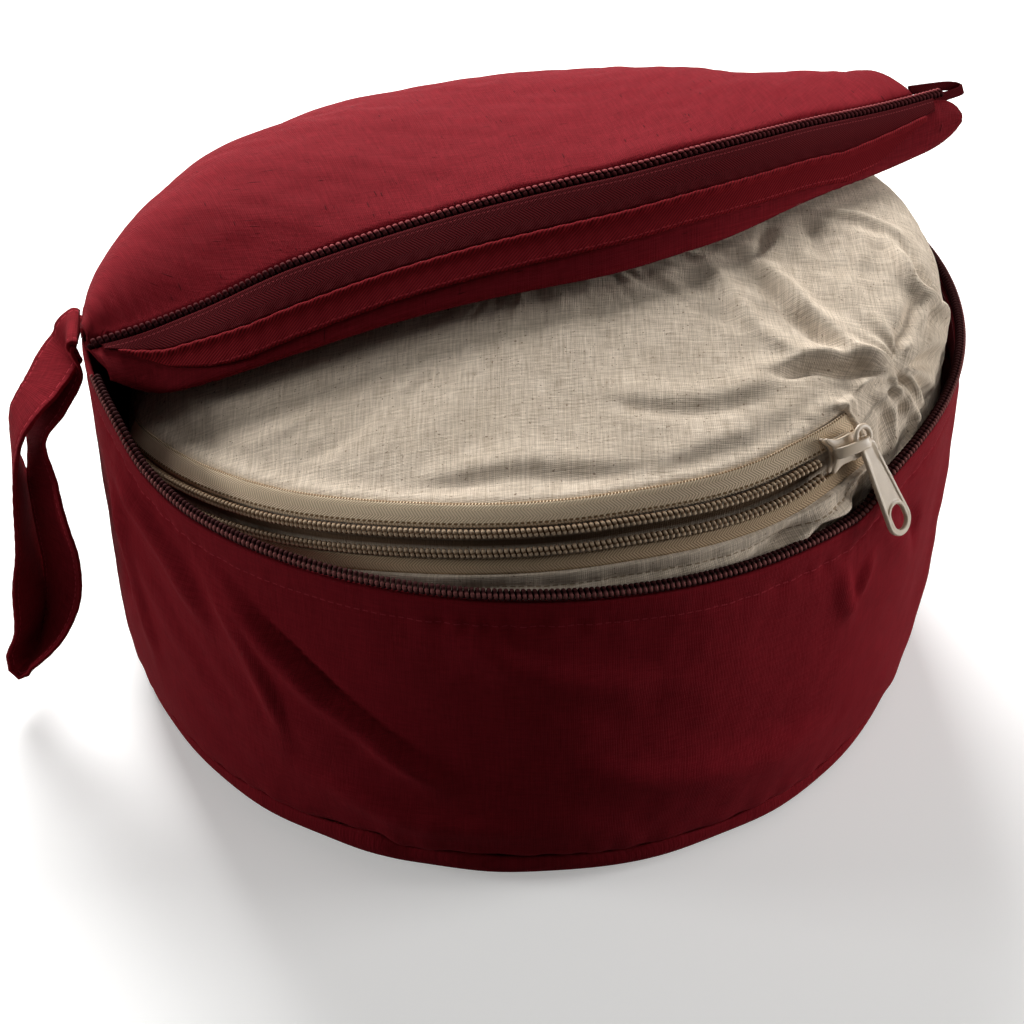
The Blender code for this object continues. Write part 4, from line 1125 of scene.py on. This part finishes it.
# unevenness, gathers near the sewn left end, and puckers at the flap's two rows of stitches
x = np.linspace(-163, 163, LID_ACROSS)[:, None]
at = at[:, None]
relief = 0.55 * ripples(x, from_zip, 46, 31) + 0.2 * ripples(x, from_zip, 15, 32)
relief = relief * np.clip((at - 0.02) / 0.2, 0.15, 1) * ramp(45, 70, from_zip)
gathered = np.sin(x * 2 * math.pi / 7.0 + 1.5 * ripples(x, from_zip, 30, 33))
relief = relief + 0.45 * gathered * (bell(from_zip - 66, 20) * fall(0.2, 0.36, at))
sewn = bell(from_zip - 16.2, 1.3) + 0.7 * bell(from_zip - 29.5, 1.6)
relief = relief - 0.35 * gathers(x, 6.2, 2.0, 34, 34) * sewn
normal = unit(np.cross(np.gradient(grid, axis=0), np.gradient(grid, axis=1)))
grid = grid + normal * relief[..., None]
lengths = beside(x, from_zip)
# the flap, within 40 mm of the zip edge, is painted darker as shade: it faces down and forward,
# away from the main light
slubby = cotton("slubby_burgundy_cotton", BURGUNDY_LIGHT, 0.65, inner=0.72, nubs=0.65)
lid_cloth = grid_piece("lid_cloth", grid, lengths, slubby, "burgundy_cotton", "cover_lid",
                       thickness=CLOTH, inner=fall(40, 60, from_zip))

# ---- Zip on the lid ----
# The other half of the cover's zip runs along the folded edge. Below it, on the flap's inside,
# are its dark tape, a stitched ridge, a twill seam tape and the cloth's turned edge.


def flap_grid(places, downs, out):
    """Points of the lid's flap, `downs` from its zip edge and `out` from its face to the front."""
    flaps = [lid_section(at)[::-1] for at in places]
    inner = np.array([along(flap, down) for flap, down in zip(flaps, downs)])
    ahead = np.array([along(flap, down + 0.2) for flap, down in zip(flaps, downs)])
    across = unit(np.gradient(inner, axis=0))
    face = unit(np.cross(unit(ahead - inner), across))
    face = face * np.where(face[..., 1:2] > 0, -1.0, 1.0)
    return inner + face * out


def flap_relief(x, down, rows):
    """Puckers along the rows where the flap's tapes are stitched down, fading away from them; each
    row is (distance from the tape's edge, height, length of a pucker)."""
    total = 0.0
    for row, high, pitch in rows:
        gather = np.sin(x * 2 * math.pi / pitch + 1.8 * ripples(x, x * 0, 30, int(row * 10)))
        total = total + high * gather * bell(down - row, 1.5)
    return total


LID_TAPE_WIDTH, SEAM_TAPE_WIDTH = 15.0, 11.5
LID_COIL_PITCH = 2.3
before = CLOTH / 2 + 0.8 + TAPE / 2
lid_tape_cloth = ribbed_tape(
    "burgundy_lid_tape", (0.022, 0.001, 0.002, 1), (0.085, 0.0035, 0.0055, 1), 1.2, 5.0,
    (0.17, 0.022, 0.026, 1), rows=((2.2, 1.7, 0.5),),
)
twill = ribbed_tape(
    "burgundy_twill_tape", (0.048, 0.0016, 0.0028, 1), (0.185, 0.0075, 0.0115, 1), 1.5, 60.0,
    (0.25, 0.02, 0.026, 1), rows=((SEAM_TAPE_WIDTH - 1.2, 2.2, 0.45),),
)
for name, first, last, rows, finish, slot, node in (
    ("lid_zip_tape", 0.014, 0.966, ((14.4, 0.22, 6.2),), lid_tape_cloth,
     "burgundy_zip_tape", "cover_zip_tape_lid"),
    ("lid_seam_tape", 0.03, 0.955, ((1.0, 0.3, 6.2), (10.4, 0.2, 6.6)), twill,
     "burgundy_twill_tape", "cover_seam_tape"),
):
    places = np.linspace(first, last, 300)
    width = np.interp(places, (0.014, 0.1, 0.2, 0.86, 0.966),
                      (2.6, 10.5, LID_TAPE_WIDTH, LID_TAPE_WIDTH, 7.0))
    start = 0.6
    if name == "lid_seam_tape":
        start = start + width + 0.5
        width = SEAM_TAPE_WIDTH * np.minimum(ramp(0.0, 0.19, places), fall(0.88, 0.985, places))
    down = np.linspace(0, 1, 16) * width[:, None]
    out = before + flap_relief(places[:, None] * 330, down, rows)
    if name == "lid_seam_tape":
        out = out + 1.0 * bell(down - 1.1, 1.0)
    downs = np.reshape(start, (-1, 1)) + down
    grid = flap_grid(places, downs, 0.0)
    grid = grid + unit(flap_grid(places, downs, 1.0) - grid) * out[..., None]
    tape = grid_piece(name, grid, strip_lengths(grid, down), finish, slot, node, thickness=TAPE)

steps = np.linspace(0, 1, 300)[:293]
table = np.array(LID_SECTIONS)
line = np.stack([smooth(table[:, 0], table[:, n], steps) for n in (1, 2, 3)], axis=-1)
upward = np.broadcast_to([0.0, -0.7, 1.0], line.shape)
grid, bead, side = wound(line, upward, RED_COIL, LID_COIL_PITCH, 0.55)
# painted highlights on the beads: strong on the coil's upper row, faint on its lower row, and
# weaker left of x = -70 mm
highlit_stretch = ramp(-90, -70, grid[:, :1, 0])
shade = bead * (0.55 - 0.45 * side) * (0.4 + 0.6 * highlit_stretch)
# the pink light colour is the beads' painted highlight, not a dyed tip
highlit_lid_nylon = nylon("lid_zip_coil_painted_highlight", (0.022, 0.002, 0.003, 1), (0.56, 0.13, 0.135, 1))
coil_piece("lid_zip_coil", grid, shade, highlit_lid_nylon, "burgundy_zip_coil", "cover_zip_coil_lid")

tip_line = through([(158, 76, 193.0), (168, 85, 191.4), (174.6, 91.6, 190.4), (175.2, 94.2, 190.6),
                    (170, 93.6, 191.6), (161, 88.2, 193.2), (152, 82.6, 194.6)], 60)
across = unit(np.array([0.25, -0.55, -0.8])) * np.linspace(-1.0, 2.6, 6)[:, None]
grid = tip_line[:, None] + across
tip_tape = grid_piece("lid_tape_end", grid, strip_lengths(grid, np.linspace(6, 11, 6)),
                      lid_tape_cloth, "burgundy_zip_tape", thickness=TAPE)

# ---- Strap ----
# A carrying strap of folded burgundy cotton, stitched along both edges, whose two ends are sewn
# into the rim at the left. It hangs down the wall in a loop and turns over at the bottom.

STRAP_WIDTH, STRAP_THICK = 24.0, 2.2
STRAP_STITCHES = 9.6  # from its middle to each row of stitches
STRAP = (  # x, y, z, turn, rise: the way its width points
    (-163.0, -24.2, 149.8, 278.0, 0.0), (-166.2, -24.6, 149.8, 278.0, 0.0),
    (-168.3, -24.1, 142.1, 304.9, -0.5), (-171.2, -26.1, 138.7, 299.8, -2.5),
    (-173.8, -31.9, 135.3, 304.1, 3.0), (-177.0, -37.6, 132.0, 304.8, 6.2),
    (-181.4, -41.7, 127.9, 300.2, 6.6), (-186.2, -44.6, 120.5, 292.6, 3.9),
    (-188.7, -46.2, 107.6, 283.8, 0.9), (-188.8, -46.8, 89.6, 270.6, -0.0),
    (-190.1, -47.0, 70.7, 265.6, 0.3), (-191.7, -47.8, 51.1, 253.1, 1.3),
    (-193.0, -49.2, 33.2, 250.3, -0.5), (-196.5, -50.8, 20.9, 244.4, -2.1),
    (-195.7, -52.9, 14.8, 256.1, -3.8), (-190.6, -51.9, 19.6, 274.5, 3.2),
    (-183.6, -49.6, 32.1, 298.1, 2.5), (-178.9, -48.2, 49.4, 315.1, -1.2),
    (-177.8, -49.1, 67.4, 319.8, -1.2), (-178.3, -50.5, 83.6, 314.9, 0.8),
    (-179.3, -48.8, 97.1, 309.9, 1.7), (-180.9, -40.7, 113.3, 293.8, -2.1),
    (-176.2, -33.2, 125.1, 303.9, -13.5), (-169.8, -27.7, 135.2, 302.7, -14.8),
    (-166.0, -24.6, 146.9, 278.0, 0.0), (-163.0, -24.2, 146.9, 278.0, 0.0),
)


def pressed(wave, power):
    """A sine or a cosine drawn towards -1 and 1, which makes a ring's corners squarish."""
    return np.sign(wave) * np.abs(wave) ** power


rows = np.array(STRAP)
keys = run_length(rows[:, :3])
middle = through(rows[:, :3], 300)
at = np.linspace(0, keys[-1], len(middle))
turn, rise = (np.radians(smooth(keys, rows[:, n], at)) for n in (3, 4))
across = np.stack([np.cos(turn) * np.cos(rise), np.sin(turn) * np.cos(rise), np.sin(rise)], -1)
ahead = unit(np.gradient(middle, axis=0))
across = square_to(across, ahead)
face = np.cross(ahead, across)
ring = np.linspace(0, 2 * math.pi, 45)[:-1]
wide = pressed(np.cos(ring), 0.55) * STRAP_WIDTH / 2
thick = pressed(np.sin(ring), 0.32) * STRAP_THICK / 2
drawn_in = bell(np.abs(wide) - STRAP_STITCHES, 0.8) * np.sign(thick) * 0.22
pucker = np.sin(at[:, None] * 2 * math.pi / 5.5) * bell(np.abs(wide) - 10.5, 1.8)
depth = thick - drawn_in + 0.09 * pucker
grid = middle[:, None] + across[:, None] * wide[:, None] + face[:, None] * depth[..., None]
grid[[0, -1]] = middle[[0, -1], None] + across[[0, -1], None] * wide[:, None]
lengths = beside(at, np.append(wide, wide[0])[:, None] + STRAP_WIDTH / 2)
strap_cotton = cotton(
    "burgundy_strap_cotton", (0.42, 0.035, 0.05, 1), 0.8,
    rows=[(STRAP_WIDTH / 2 + side * STRAP_STITCHES, 2.8, 0.5) for side in (-1, 1)],
)
strap_band = grid_piece("strap_band", grid.swapaxes(0, 1), lengths, strap_cotton,
                        "burgundy_cotton", "cover_strap", around_rows=True, merge=MERGE)

# ---- Slider and pull ----
# A beige enamelled metal slider: two plates that narrow to the right around the joined coils,
# with a bridge that holds the pull. The pull hangs over the cushion's edge: a tapered tab with
# a raised border round a recessed panel, and an oblong hole near its end.


def enamel_material(name):
    """Enamelled zinc: a warm beige coat, a little uneven, with a soft shine."""
    made, tree, shader = new_material(name, 0.42, {"Coat Weight": 0.2, "Coat Roughness": 0.3})
    place = add(tree, "TexCoord").outputs["Object"]
    clouds = noise(tree, place, 260.0, 3.0)
    colour = blend(tree, clouds, (0.53, 0.415, 0.295, 1), (0.68, 0.55, 0.41, 1))
    tree.links.new(colour, shader.inputs["Base Color"])
    return made


enamel = enamel_material("beige_enamel")


def rounded_plate(outline, low, high, edge):
    """A plate's rings, from its lower face's middle over its rounded edge to its upper face's
    middle: the outline drawn in by `edge` at both faces, and whole between them."""
    centre = outline.mean(axis=0)
    inward = unit(centre - outline)
    half = [(centre + (outline - centre) * share, 0.0) for share in (0.0, 0.5)]
    for turn in np.radians([0, 30, 60, 90]):
        drawn_in = outline + inward * edge * (1 - math.sin(turn))
        half.append((drawn_in, edge * (1 - math.cos(turn))))
    rings = [(ring, low + rise) for ring, rise in half]
    rings += [(ring, high - rise) for ring, rise in reversed(half)]
    return np.stack([np.column_stack([ring, np.full(len(ring), z)]) for ring, z in rings], axis=1)


def joined(name, grids):
    """One mesh of several closed tubes, each a grid whose last row joins its first."""
    shape = bmesh.new()
    for grid in grids:
        lengths = np.zeros((grid.shape[0] + 1, grid.shape[1], 2))
        tube = grid_mesh(name, grid, lengths, True, merge=MERGE)
        shape.from_mesh(tube)
        bpy.data.meshes.remove(tube)
    mesh = bpy.data.meshes.new(name)
    shape.to_mesh(mesh)
    shape.free()
    mesh.shade_smooth()
    return mesh


def seated(points, origin, x_axis, up_axis):
    """Points of a small part's own axes, moved to its place on the cushion."""
    x = unit(x_axis)
    y = unit(np.cross(up_axis, x))
    z = np.cross(x, y)
    return origin + points[..., :1] * x + points[..., 1:2] * y + points[..., 2:] * z


SLIDER_TURN, SLIDER_SHIFT = -10.0, (-0.8, 1.6, 0.0)  # it sits a little askew on the zip
SLIDER_BELOW = 11.9  # from the upper tape's edge down to the joined coils
seat = zip_edge(SLIDER_AT) + SLIDER_BELOW
here = casing_point(SLIDER_AT, seat, 1.5)
run = here - casing_point(SLIDER_AT - 2, zip_edge(SLIDER_AT - 2) + SLIDER_BELOW, 1.5)
up = unit(casing_point(SLIDER_AT, seat, 6.0) - here)
half_outline = np.array([(6.6, 0.0), (6.4, 2.7), (5.5, 4.0), (3.0, 4.5), (0.0, 4.3), (-3.0, 4.4),
                         (-5.2, 5.1), (-6.8, 5.9), (-7.5, 5.5), (-6.9, 4.2), (-5.5, 2.6),
                         (-5.0, 0.0)])
outline = np.vstack([half_outline, half_outline[-2:0:-1] * [1, -1]])
outline = through(np.vstack([outline, outline[:1]]), 97)[:-1]
bridge_line = through([(-4.6, 0, 3.0), (-4.2, 0, 4.8), (-1.5, 0, 5.9), (3.0, 0, 6.4), (7.0, 0, 6.2),
                       (8.6, 0, 5.0), (8.4, 0, 3.4), (6.2, 0, 3.0)], 40)
parts = [rounded_plate(outline, 0.0, 1.1, 0.3), rounded_plate(outline, 2.5, 3.8, 0.3)]
ring = np.linspace(0, 2 * math.pi, 17)[:-1]
ahead = unit(np.gradient(bridge_line, axis=0))
rise = np.cross(ahead, [0.0, -1.0, 0.0])
wide = pressed(np.cos(ring), 0.6) * 1.9
thick = pressed(np.sin(ring), 0.6) * 0.6
swept = bridge_line[:, None] + np.outer(wide, [0.0, 1.0, 0.0]) + rise[:, None] * thick[:, None]
swept[[0, -1]] = bridge_line[[0, -1], None]
parts.append(swept.swapaxes(0, 1))
post = np.column_stack([1.4 * np.cos(ring) - 3.0, 1.0 * np.sin(ring)])
parts.append(rounded_plate(post, 0.6, 3.0, 0.2))
cos, sin = math.cos(math.radians(SLIDER_TURN)), math.sin(math.radians(SLIDER_TURN))
spin = np.array([[cos, sin, 0], [-sin, cos, 0], [0, 0, 1]])
parts = [seated(part @ spin + SLIDER_SHIFT, here, run, up) for part in parts]
piece("slider_body", joined("slider_body", parts), enamel, "beige_enamel", "casing_zip_slider")

PULL_LENGTH, PULL_NECK, PULL_END, PULL_THICK = 40.6, 6.8, 11.2, 1.7
PULL_FROM, PULL_TO = np.array((108.1, -112.3, 163.5)), np.array((125.7, -118.5, 127.1))
HOLE_CENTRE, HOLE_LENGTH, HOLE_WIDTH = 34.0, 9.2, 6.4
RING_RADIUS, RING_WIRE, RING_AHEAD = 3.4, 1.0, 1.6  # the ring at its top, round the bridge


def ray_lengths(outline, centre, directions):
    """How far each direction runs from the centre to a closed outline, by its crossing with
    each of the outline's sides."""
    a, b = outline - centre, np.roll(outline, -1, axis=0) - centre
    side = b - a
    cross = directions[:, None, 0] * side[:, 1] - directions[:, None, 1] * side[:, 0]
    cross = np.where(np.abs(cross) < 1e-12, 1e-12, cross)
    far = (a[:, 0] * side[:, 1] - a[:, 1] * side[:, 0]) / cross
    part = (a[:, 0] * directions[:, None, 1] - a[:, 1] * directions[:, None, 0]) / cross
    hit = (far > 0) & (part >= -1e-9) & (part <= 1 + 1e-9)
    return np.where(hit, far, FAR).min(axis=1)


def edge_distance(points, outline):
    """The distance from each point to the nearest side of a closed outline."""
    nearest = np.full(points.shape[:-1], FAR)
    for a, b in zip(outline, np.roll(outline, -1, axis=0)):
        run = b - a
        part = np.clip(((points - a) @ run) / (run @ run), 0, 1)
        nearest = np.minimum(nearest, np.linalg.norm(points - a - part[..., None] * run, axis=-1))
    return nearest


def round_end(start, radius, count):
    """Half a circle that bulges to the right of `start`."""
    turn = np.linspace(-math.pi / 2, math.pi / 2, count)
    return np.column_stack([start + radius * np.cos(turn), radius * np.sin(turn)])


neck = PULL_NECK / 2
shoulder = np.array([[4.0, neck - 1.3], [5.2, neck], [7.0, neck]])
cap = round_end(PULL_LENGTH - PULL_END / 2, PULL_END / 2, 15)
outer = np.vstack([shoulder * [1, -1], cap, shoulder[::-1]])
right = round_end((HOLE_LENGTH - HOLE_WIDTH) / 2, HOLE_WIDTH / 2, 12)
centre = np.array([HOLE_CENTRE, 0.0])
hole = np.vstack([right, -right]) + centre
corner_turns = np.arctan2(outer[:, 1], outer[:, 0] - HOLE_CENTRE)
turns = np.sort(np.concatenate([np.linspace(-math.pi, math.pi, 121)[:-1], corner_turns]))
turns = turns[np.append(True, np.diff(turns) > 1e-3)]
rays = np.column_stack([np.cos(turns), np.sin(turns)])
reach = ray_lengths(outer, centre, rays)
inside = ray_lengths(hole, centre, rays)
share = np.linspace(0, 1, 44)
spots = centre + rays[:, None] * (inside[:, None] + (reach - inside)[:, None] * share)[..., None]
off = np.minimum(edge_distance(spots, outer), edge_distance(spots, hole))
face = PULL_THICK / 2 - 0.4 * ramp(1.0, 1.5, off) - 0.3 * (1 - ramp(0.0, 0.35, off))
front = np.concatenate([spots, face[..., None]], axis=-1)
back = (front * [1, 1, -1])[:, ::-1]
tab = np.concatenate([front, back, front[:, :1]], axis=1)
turn = np.linspace(0, 2 * math.pi, 49)[:-1, None]
wire = np.linspace(0, 2 * math.pi, 17)
reach = RING_RADIUS + RING_WIRE * np.cos(wire)
top_ring = beside(reach * np.cos(turn) + RING_AHEAD, reach * np.sin(turn), 0.85 * np.sin(wire))
parts = [seated(part, PULL_FROM, PULL_TO - PULL_FROM, up) for part in (tab, top_ring)]
pull_mesh = joined("slider_pull", parts)
pull_mesh.set_sharp_from_angle(angle=math.radians(50))
piece("slider_pull", pull_mesh, enamel, "beige_enamel", "casing_zip_pull")
